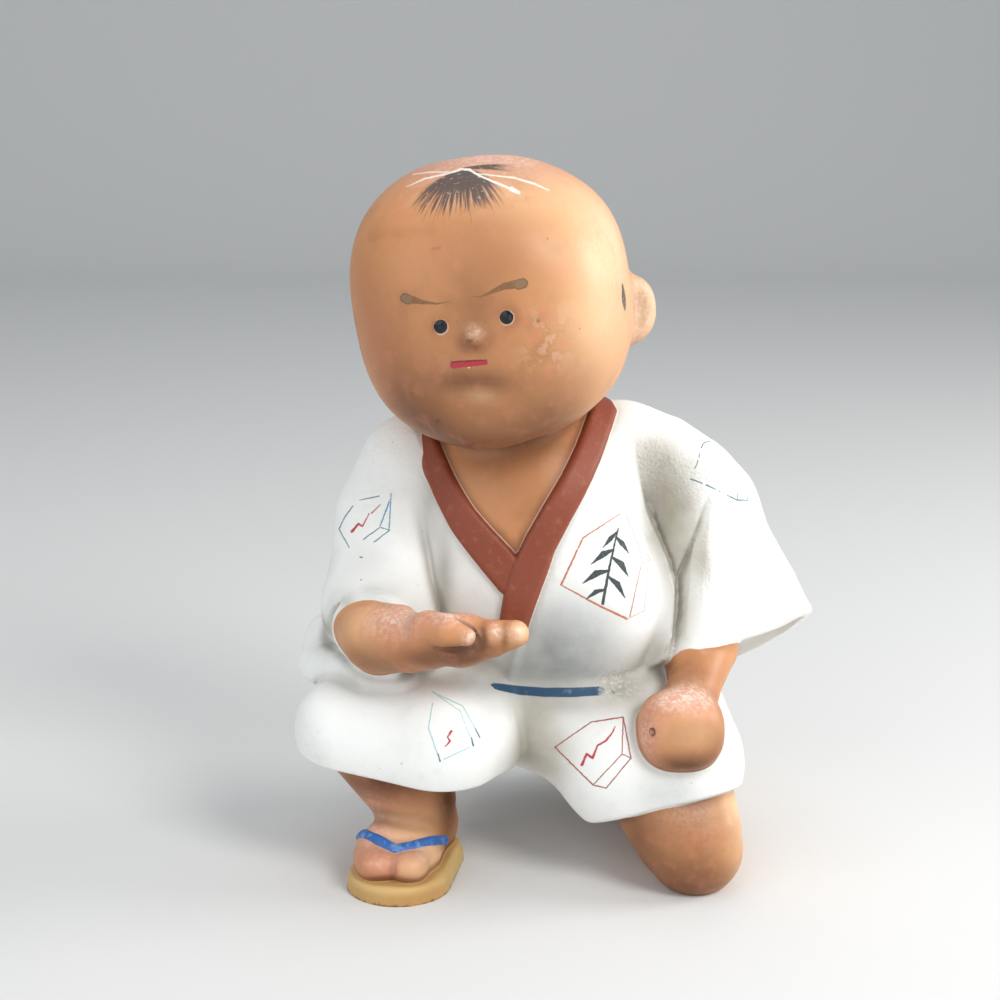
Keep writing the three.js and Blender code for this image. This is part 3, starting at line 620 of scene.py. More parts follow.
@dataclass
class Arms:
    """The right forearm with its open hand, and the left one with its fist."""

    right_stops: Sequence[Stop] = (
        (-49.5, -10, 66, 9.2), (-43.8, -27, 63.8, 9.6), (-35.5, -36.5, 64.9, 7.4), (-31, -40, 66, 6.3),
    )
    palm: Sequence[Stop] = ((-31, -40, 67.2, 6.2), (-23, -43.4, 68, 6.3))
    fingers: Sequence[Stop] = ((-23, -43.4, 67.6, 5.8), (-15.5, -45, 68.8, 4.6), (-10, -46.4, 70.4, 3.3))
    knuckles: Sequence[Stop] = ((-15.6, -47.4, 70.6, 2.9), (-10.6, -48, 71.3, 2.4))
    thumb: Sequence[Stop] = ((-31, -42.6, 70.6, 4.3), (-26, -47, 71.2, 4.1), (-21.6, -49.4, 70.4, 2.7))
    slit: Sequence[Stop] = ((-24, -47.4, 74.4, 0.4), (-20.8, -48.4, 72.8, 0.8), (-19.2, -50.2, 69.6, 0.8))
    groove: Sequence[Stop] = ((-19.2, -50.2, 69.6, 0.8), (-23, -50.6, 67.4, 1.1), (-29, -48, 67.2, 0.4))
    left_stops: Sequence[Stop] = (
        (40, -2, 66, 10), (38, -12, 56, 9.6), (35.6, -24, 50, 6.7), (33, -31, 46, 7),
    )
    fist_middle: Triple = (31, -37, 42.6)
    fist_radii: Triple = (10.7, 9.6, 9.7)
    pit: Triple = (23.6, -43.9, 44.6)

    def right(self) -> Form:
        """The right forearm and hand, palm up, from a little inside the sleeve's mouth.

        Returns:
            The form.
        """
        limbs = melt(2.5, Limb(self.right_stops), Limb(self.palm), Limb(self.fingers))
        tips = melt(0.8, *(Blob(stop[:3], (stop[3],) * 3) for stop in self.knuckles))
        thumb = Limb(self.thumb)
        lines = melt(0.3, Limb(self.slit), Limb(self.groove))
        behind = Side((-46, -25, 72), (0.4, 0.9, 0.1))

        def arm(p: Array) -> Array:
            """The arm and palm, the knuckles and thumb against them, and the creases round the thumb."""
            hand = melted(1.6, melted(1.4, limbs(p), tips(p)), thumb(p))
            return within(1, carved(0.8, hand, lines(p)), behind(p))

        return arm

    def left(self) -> Form:
        """The left forearm and fist, from a little inside the sleeve's hem.

        Returns:
            The form.
        """
        whole = melt(2.5, Limb(self.left_stops), Blob(self.fist_middle, self.fist_radii, power=2.5))
        above = Side((40, -14, 59.4), (-0.1, 0.3, 1))
        pit = Blob(self.pit, (0.9, 1.0, 1.1))
        return lambda p: carved(0.4, within(1, whole(p), above(p)), pit(p))


@dataclass
class Legs:
    """The legs, feet and sandals: the right foot flat, the left leg folded back on its toes."""

    sole: float = 4.6
    knee: Sequence[Stop] = ((30.4, -30, 21.5, 14.6), (33.6, -33, 14, 13.6), (35.4, -34, 10, 12.2))
    strap_relief: float = 0.8
    strap_path: Sequence[Stop] = (
        (-50.8, -29.0, 11.8, 1.15), (-48.3, -32.0, 12.8, 1.15), (-44.2, -36.4, 13.0, 1.2),
        (-39.8, -38.6, 11.8, 1.45), (-35.4, -37.2, 12.4, 1.2), (-30.6, -33.4, 11.4, 1.15),
        (-26.0, -27.4, 8.8, 1.15),
    )

    def right_leg(self) -> Form:
        """The right shin, ankle and the back of the foot.

        Returns:
            The form.
        """
        whole = melt(
            3,
            Limb([(-45.2, -20.6, 36, 14.4), (-35.7, -19, 17, 10.6), (-34.5, -16, 9, 9.4)]),
            Pad(((-33.5, -14, 9, 8), (-43, -31, 7.6, 7.4), (-35, -31.5, 7.2, 6.4))),
        )
        above = Side((-33, -44, 29.4), (0.04, -0.15, 1))
        return lambda p: within(1, whole(p), above(p))

    def toes(self) -> Form:
        """The toes: the big one, and the others in one mass.

        Returns:
            The form.
        """
        return melt(
            0.9,
            Blob((-44.0, -35.6, 6.4), (6.1, 8.8, 4.1), (-14, 0, 8), 2.6),
            Blob((-36.2, -36.8, 6.4), (4.8, 8.6, 4.2), (-14, 0, -4), 2.5),
        )

    def foot(self) -> Form:
        """The right leg with its toes."""
        return melt(2.6, self.right_leg(), self.toes())

    def left_leg(self) -> Form:
        """The left knee on the ground and the lower leg folded back.

        Returns:
            The form.
        """
        thigh = melt(4, Limb([(24, 4, 34, 15), (31, -28, 19, 13.5)]), Limb(self.knee))
        front = Side((33, -41.5, 24), (0, -0.8, 0.6))
        above = Side((16, -40, 21.5), (-0.259, 0.341, 1))
        shin = melt(
            4,
            Limb([(34, -28, 11, 11), (31, 22, 10, 9.5), (30.5, 33, 14, 9)]),
            Limb([(27, 14, 18, 7.5), (25.5, 27, 18, 5.5)]),
        )
        return lambda p: melted(4, within(1, within(5, thigh(p), front(p)), above(p)), shin(p))

    def right_sandal(self) -> Form:
        """The flat sandal under the right foot.

        Returns:
            The form.
        """
        outline = Limb([(-34.4, -18.3, 0, 11.2), (-39.2, -34.4, 0, 13.2)])
        top = Side((0, 0, self.sole), (0, 0, 1))
        return lambda p: within(1.2, outline(p), top(p))

    def left_sandal(self) -> Form:
        """The sandal behind the seat, standing on its toe edge.

        Returns:
            The form.
        """
        outline = Limb([(30.5, 42, 12, 12.5), (30.5, 36, 28, 11.5)])
        back = Side((30.5, 41.8, 16), (0, 0.95, 0.32))
        front = Side((30.5, 37.2, 16), (0, -0.95, -0.32))
        return lambda p: within(1.2, within(1.2, outline(p), back(p)), front(p))


class Doll:
    """The whole doll: the distance from any place to each of its painted parts, and to them all as one."""

    def __init__(self) -> None:
        """Makes the parts and lays the bands and the strap onto what carries them."""
        self.head = Head()
        self.coat = Coat()
        self.arms = Arms()
        self.legs = Legs()
        self.torso = self.coat.torso()
        self.under_band, self.over_band = self.coat.bands(self.torso)
        foot = self.legs.foot()
        self.strap_line = Limb(laid_on(foot, self.legs.strap_path))
        self.forms = {
            "head": (self.head.form(), (-54, -47, 104), (24, 27, 182)),
            "neck": (self.head.neck(), (-30, -24, 70), (12, 18, 132)),
            "right_sleeve": (self.coat.right_sleeve(), (-68, -40, 44), (-16, 19, 116)),
            "left_sleeve": (self.coat.left_sleeve(), (4, -27, 34), (70, 20, 118)),
            "skirt": (self.coat.skirt(), (-67, -45, 12), (50, 39, 62)),
            "right_arm": (self.arms.right(), (-61, -54, 52), (-5, 1, 78)),
            "left_arm": (self.arms.left(), (19, -48, 31), (51, 9, 77)),
            "foot": (foot, (-64, -47, -2), (-20, 0, 54)),
            "left_leg": (self.legs.left_leg(), (7, -50, -4), (50, 44, 52)),
            "right_sandal": (self.legs.right_sandal(), (-54, -49, -1), (-22, -6, 6)),
            "left_sandal": (self.legs.left_sandal(), (17, 30, -2), (44, 50, 41)),
        }

    def parts(self, p: Array) -> dict[str, Array]:
        """The distances to each part and to the whole.

        Args:
            p: Rows of places in millimetres.

        Returns:
            The distances by name: each form's own, the collar's two bands, and made of these the strap, the
            collar, the sandals, the cloth, all that is bare, and the figure.
        """
        d = {name: near(p, low, high, form) for name, (form, low, high) in self.forms.items()}
        torso = self.torso(p)
        opening = self.coat.opening(p)
        relief = self.coat.collar_relief
        d["under_band"], d["over_band"] = self.under_band(p), self.over_band(p)
        under = within(self.coat.band_edge, d["under_band"], torso - relief)
        over = within(self.coat.band_edge, d["over_band"], torso - relief - self.coat.lap_over)
        chest = within(0.4, torso + self.coat.chest_depth, opening - 3)
        d["strap"] = within(0.4, self.strap_line(p), d["foot"] - self.legs.strap_relief)
        d["collar"] = melted(0.4, under, over)
        d["sandals"] = np.minimum(d["right_sandal"], d["left_sandal"])
        coat = melted(3, carved(0.5, torso, opening), d["left_sleeve"], d["skirt"])
        coat = coat + pressed(p, self.coat.armpit)
        d["cloth"] = smooth_min(d["right_sleeve"], coat, np.interp(p[:, 2], (88, 102), (1.2, 4)))
        bare = (d["head"], d["neck"], chest, d["foot"], d["left_leg"])
        d["bare"] = np.minimum.reduce([*bare, d["right_arm"], d["left_arm"]])
        skin = melted(0.8, *bare, d["right_sandal"], d["left_sandal"], d["strap"])
        dressed = melted(1.8, d["cloth"], d["right_arm"], d["left_arm"])
        d["figure"] = melted(0.5, dressed, skin, d["collar"])
        return d

    def figure(self, p: Array) -> Array:
        """The distance to the whole doll."""
        return self.parts(p)["figure"]


# The doll's surface.


def in_chunks(form: Form, p: Array, size: int = 20000) -> Array:
    """A form asked for many places, some thousands at a time, on four threads.

    Args:
        form: The form.
        p: Rows of places.
        size: How many places a thread takes at a time.

    Returns:
        The form's values in the places' order.
    """
    chunks = [p[start : start + size] for start in range(0, len(p), size)]
    with ThreadPoolExecutor(4) as pool:
        return np.concatenate(list(pool.map(form, chunks)))


@dataclass
class Surface:
    """The mesh of a form's surface, cut flat at the ground.

    The form is asked on a grid. Each grid cell that the surface crosses gets a place, the mean of where it
    crosses the cell's edges, and each grid edge that it crosses gets a quad between the four cells round it.
    The places are then moved onto the surface, and the triangles are split where the surface turns most.
    """

    form: Form
    low: Triple = (-70.0, -56.0, -5.0)
    high: Triple = (72.0, 54.0, 185.0)
    cell: float = 1.42
    block: int = 5
    goal: int = 197000
    # How far under the ground the form goes on, and how much faster than the distance it may change.
    under: float = 2.5
    steepest: float = 1.4
    # An edge is worth splitting by its bend, and by this much more where paint changes. It counts in full at
    # this length times (1 + short), and not at all at this length times short.
    paint_bend: float = 0.12
    long: float = 0.7
    short: float = 0.6
    least_score: float = 0.1
    places: Array = field(init=False)
    triangles: Array = field(init=False)

    def grounded(self, p: Array) -> Array:
        """The form, ending a little under the ground."""
        return np.maximum(self.form(p), -p[:, 2] - self.under)

    def grid(self) -> Array:
        """The form's values on the grid: exact near the surface, and one for each block far from it.

        Returns:
            The values over the grid's three axes.
        """
        low = np.array(self.low)
        blocks = np.ceil((np.array(self.high) - low) / (self.cell * self.block)).astype(int)
        steps = [np.arange(n) for n in blocks]
        corner = np.stack(np.meshgrid(*steps, indexing="ij"), -1).reshape(-1, 3) * self.block
        middle = low + (corner + (self.block - 1) / 2) * self.cell
        far = in_chunks(self.grounded, middle)
        reach = (self.block + 1) * self.cell * math.sqrt(3) / 2 * self.steepest
        inner = np.stack(np.meshgrid(*[np.arange(self.block)] * 3, indexing="ij"), -1).reshape(-1, 3)
        close = np.abs(far) < reach
        index = (corner[close][:, None, :] + inner[None]).reshape(-1, 3)
        value = np.repeat(far.reshape(blocks), self.block, 0)
        value = np.repeat(np.repeat(value, self.block, 1), self.block, 2)
        value[index[:, 0], index[:, 1], index[:, 2]] = in_chunks(self.grounded, low + index * self.cell)
        return value

    @staticmethod
    def without_pockets(value: Array) -> Array:
        """The grid with each pocket of air cut off from the outside filled, by sweeps along each axis.

        Args:
            value: The form's values on the grid.

        Returns:
            The values with the pockets filled.
        """
        empty = value >= 0
        air = np.zeros_like(empty)
        air[0] = air[-1] = True
        air &= empty
        before = -1
        while before != air.sum():
            before = air.sum()
            for axis in range(3):
                a, e = np.moveaxis(air, axis, 0), np.moveaxis(empty, axis, 0)
                for i in range(1, len(a)):
                    a[i] |= a[i - 1] & e[i]
                for i in range(len(a) - 2, -1, -1):
                    a[i] |= a[i + 1] & e[i]
        return np.where(empty & ~air, -0.1, value)

    @staticmethod
    def untangled(value: Array) -> Array:
        """The grid with a place filled wherever the clay meets itself only across a square's diagonal.

        Args:
            value: The form's values on the grid.

        Returns:
            The same values, changed where needed.
        """
        for _ in range(6):
            found = 0
            for u, v in ((0, 1), (1, 2), (0, 2)):
                w = np.moveaxis(value, (u, v), (0, 1))
                a, b, c, d = w[:-1, :-1], w[1:, :-1], w[:-1, 1:], w[1:, 1:]
                for one, two, three, four in ((a, d, b, c), (b, c, a, d)):
                    crossed = (one < 0) & (two < 0) & (three >= 0) & (four >= 0)
                    found += int(crossed.sum())
                    three[crossed] = -0.01
            if not found:
                break
        return value

    def nets(self, value: Array) -> None:
        """Makes the places and the triangles.

        Args:
            value: The form's values on the grid.
        """
        cells = tuple(n - 1 for n in value.shape)
        total = np.zeros((*cells, 3))
        count = np.zeros(cells)
        crossings = []
        for w in range(3):
            u, v = (w + 1) % 3, (w + 2) % 3
            first = np.moveaxis(value, (w, u, v), (0, 1, 2))
            a, b = first[:-1], first[1:]
            crossed = (a < 0) != (b < 0)
            share = np.where(crossed, a / np.where(crossed, a - b, 1), 0)
            sums = np.moveaxis(total, (w, u, v), (0, 1, 2))
            counts = np.moveaxis(count, (w, u, v), (0, 1, 2))
            for du in (0, 1):
                for dv in (0, 1):
                    cut = (slice(None), slice(du, du + cells[u]), slice(dv, dv + cells[v]))
                    sums[..., w] += share[cut]
                    sums[..., u] += crossed[cut] * du
                    sums[..., v] += crossed[cut] * dv
                    counts += crossed[cut]
            crossings.append((crossed, a < 0))
        used = count > 0
        number = np.full(cells, -1)
        number[used] = np.arange(int(used.sum()))
        index = np.stack(np.nonzero(used), -1)
        self.places = np.array(self.low) + (index + total[used] / count[used][:, None]) * self.cell
        quads = []
        for w, (crossed, outward) in enumerate(crossings):
            u, v = (w + 1) % 3, (w + 2) % 3
            names = np.moveaxis(number, (w, u, v), (0, 1, 2))
            i, j, k = np.nonzero(crossed[:, 1:-1, 1:-1])
            j, k = j + 1, k + 1
            around = ((0, 0), (1, 0), (1, 1), (0, 1))
            quad = np.stack([names[i, j - dj, k - dk] for dj, dk in around], -1)
            out = outward[i, j, k]
            quads.append(np.where(out[:, None], quad, quad[:, ::-1]))
        quad = np.concatenate(quads)
        self.triangles = np.concatenate([quad[:, [0, 1, 2]], quad[:, [0, 2, 3]]])

    def edges(self) -> tuple[Array, Array]:
        """The mesh's edges as pairs of places, and for each triangle's three sides the edge's number.

        Returns:
            The pairs, and the numbers in rows of three.
        """
        sides = np.sort(self.triangles[:, [0, 1, 1, 2, 2, 0]].reshape(-1, 2), 1)
        code = sides[:, 0].astype(np.int64) * len(self.places) + sides[:, 1]
        unique, inverse = np.unique(code, return_inverse=True)
        pairs = np.stack([unique // len(self.places), unique % len(self.places)], -1)
        return pairs, inverse.reshape(-1, 3)

    def settle(self, steps: int, most: float) -> None:
        """Moves the places onto the surface."""
        self.places = in_chunks(lambda p: onto_surface(self.grounded, p, steps, most), self.places)

    def slopes(self) -> Array:
        """The outward unit normals at the places."""
        slope = in_chunks(lambda p: slope_of(self.grounded, p)[1], self.places)
        return slope / np.maximum(np.linalg.norm(slope, axis=1), TINY)[:, None]

    def relax(self, rounds: int) -> None:
        """Evens the mesh: each place goes half the way to its neighbours' mean, along the surface only.

        Args:
            rounds: How often each place goes.
        """
        pairs, _ = self.edges()
        ends = np.concatenate([pairs[:, 0], pairs[:, 1]])
        others = np.concatenate([pairs[:, 1], pairs[:, 0]])
        count = np.bincount(ends, minlength=len(self.places))
        for _ in range(rounds):
            mean = np.stack(
                [np.bincount(ends, self.places[others, i], len(self.places)) / count for i in range(3)], -1
            )
            normal = self.slopes()
            move = (mean - self.places) * 0.5
            move -= (move * normal).sum(1)[:, None] * normal
            self.places = self.places + move
            self.settle(steps=1, most=0.4)

    def split(self, chosen: Array, side_edge: Array, pairs: Array) -> None:
        """Splits the chosen edges at their middles, and every triangle on them into two, three or four.

        Args:
            chosen: For each edge, whether it is split.
            side_edge: For each triangle's three sides, the edge's number.
            pairs: The edges' ends.
        """
        fresh = np.full(len(pairs), -1)
        fresh[chosen] = len(self.places) + np.arange(int(chosen.sum()))
        self.places = np.concatenate([self.places, self.places[pairs[chosen]].mean(1)])
        mids = fresh[side_edge]
        cut = mids >= 0
        total = cut.sum(1)
        # Each triangle is turned until its cut sides come first.
        lead = np.select([total == 1, total == 2], [cut.argmax(1), (~cut).argmax(1) + 1], 0) % 3
        order = (lead[:, None] + np.arange(3)) % 3
        t = np.take_along_axis(self.triangles, order, 1)
        m = np.take_along_axis(mids, order, 1)
        corners = np.concatenate([t, m], 1)
        pieces = {
            0: ([0, 1, 2],),
            1: ([0, 3, 2], [3, 1, 2]),
            2: ([0, 3, 4], [3, 1, 4], [0, 4, 2]),
            3: ([0, 3, 5], [3, 1, 4], [5, 4, 2], [3, 4, 5]),
        }
        rows = [corners[total == n][:, piece] for n, some in pieces.items() for piece in some]
        self.triangles = np.concatenate(rows)

    def refine(self, budget: int, marks: Callable[[Array], Array]) -> None:
        """Splits the edges over which the surface turns most, or that a painted edge crosses.

        Args:
            budget: The most triangles that this may add.
            marks: Gives, for rows of places, rows of truths that change where a painted edge runs.
        """
        pairs, side_edge = self.edges()
        normal = self.slopes()
        mark = in_chunks(marks, self.places)
        bend = np.arccos(np.clip((normal[pairs[:, 0]] * normal[pairs[:, 1]]).sum(1), -1, 1))
        length = np.linalg.norm(self.places[pairs[:, 0]] - self.places[pairs[:, 1]], axis=1)
        crossed = (mark[pairs[:, 0]] != mark[pairs[:, 1]]).any(1)
        score = (bend + self.paint_bend * crossed) * np.clip(length / self.long - self.short, 0, 1)
        order = np.argsort(-score, kind="stable")
        count = min(budget // 2, int((score > self.least_score).sum()))
        chosen = np.zeros(len(pairs), bool)
        chosen[order[:count]] = True
        self.split(chosen, side_edge, pairs)

    def build(self, marks: Callable[[Array], Array]) -> None:
        """Builds the whole mesh.

        Args:
            marks: Gives, for rows of places, rows of truths that change where a painted edge runs.
        """
        self.nets(self.untangled(self.without_pockets(self.grid())))
        log.info("surface from the grid: %d triangles", len(self.triangles))
        self.settle(steps=3, most=0.7)
        self.relax(rounds=2)
        for share in (0.6, 1.0):
            room = self.goal - len(self.triangles)
            self.refine(int(room * share), marks)
            self.settle(steps=2, most=0.5)
            self.relax(rounds=1)
        self.settle(steps=2, most=0.3)
        self.places[:, 2] = np.maximum(self.places[:, 2], 0)
        log.info("surface: %d places, %d triangles", len(self.places), len(self.triangles))


# The doll's paint: what each place of the surface carries, as attributes that the finishes read.


@dataclass(frozen=True)
class Spot:
    """A soft spot of paint or wear in space: its middle, its three radii and its amount.

    Its amount at a place is exp(-q^2), with q the place from the middle over the radii.
    """

    middle: Triple
    radii: Triple
    amount: float = 1.0

    def __call__(self, p: Array) -> Array:
        """The spot's amount at each place."""
        q = (p - np.array(self.middle)) / np.array(self.radii)
        return self.amount * np.exp(-(q * q).sum(1))


def sprayed(spots: Sequence[Spot], p: Array) -> Array:
    """Several spots over each other: one less the product of one less each spot.

    Args:
        spots: The spots.
        p: Rows of places in millimetres.

    Returns:
        Their amount together at each place, from 0 to 1.
    """
    bare = np.ones(len(p))
    for spot in spots:
        bare *= 1 - np.clip(spot(p), 0, 1)
    return 1 - bare


def spots(*rows: tuple[float, ...]) -> tuple[Spot, ...]:
    """Spots from rows of seven numbers each: the middle, the radii and the amount."""
    return tuple(Spot(row[:3], row[3:6], row[6]) for row in rows)


@dataclass(frozen=True)
class Painter:
    """Where the painter stood: the brush marks are drawn on a plane square to this line of sight."""

    aim: Triple = (-13.7, 0.0, 91.8)
    distance: float = 520.0
    lift: float = math.radians(14)

    def axes(self) -> tuple[Array, Array, Array]:
        """The directions ahead, to the side and up.

        Returns:
            The three unit vectors.
        """
        ahead = np.array([0, math.cos(self.lift), -math.sin(self.lift)])
        up = np.array([0, math.sin(self.lift), math.cos(self.lift)])
        return ahead, np.array([1.0, 0, 0]), up

    def eye(self) -> Array:
        """Where the painter's eye is."""
        return np.array(self.aim) - self.distance * self.axes()[0]

    def drawing(self, p: Array) -> Array:
        """Each place as seen on the drawing plane through the aim, in mm: to the side and up.

        Args:
            p: Rows of places in millimetres.

        Returns:
            Rows of three numbers, the third of them 0.
        """
        ahead, side, up = self.axes()
        away = p - self.eye()
        scale = self.distance / (away @ ahead)
        return np.stack([away @ side * scale, away @ up * scale, np.zeros(len(p))], -1)

    def facing(self, p: Array, normal: Array) -> Array:
        """How squarely the surface faces the painter: the cosine of its normal with the way to the eye."""
        away = self.eye() - p
        return (away * normal).sum(1) / np.linalg.norm(away, axis=1)


class Zone(Enum):
    """The finishes of the doll's faces. The numbers are the places in its list of materials."""

    SKIN = 0
    COAT = 1
    TRIM = 2
    FACE = 3
    CROWN = 4
    CHEST = 5
    RIGHT_SLEEVE = 6
    LEFT_SLEEVE = 7
    RIGHT_LAP = 8
    LEFT_LAP = 9


# Rectangles on the drawing plane that hold brush marks: least and most to the side, least and most up.
MARKED = {
    Zone.FACE: (-31.0, 21.0, 18.0, 68.0),
    Zone.CHEST: (14.0, 41.5, -33.0, -1.0),
    Zone.RIGHT_SLEEVE: (-43.5, -26.5, -23.0, 4.0),
    Zone.LEFT_SLEEVE: (47.0, 67.0, -3.0, 18.0),
    Zone.RIGHT_LAP: (-20.5, -3.0, -70.0, -47.0),
    Zone.LEFT_LAP: (12.0, 36.5, -77.0, -54.0),
}
# How near the edge of each painted trim its finish takes over, in millimetres.
TRIM_REACH = {"collar_edge": 0.9, "strap_edge": 0.8, "sandal_edge": 0.8, "belt_edge": 2.5}
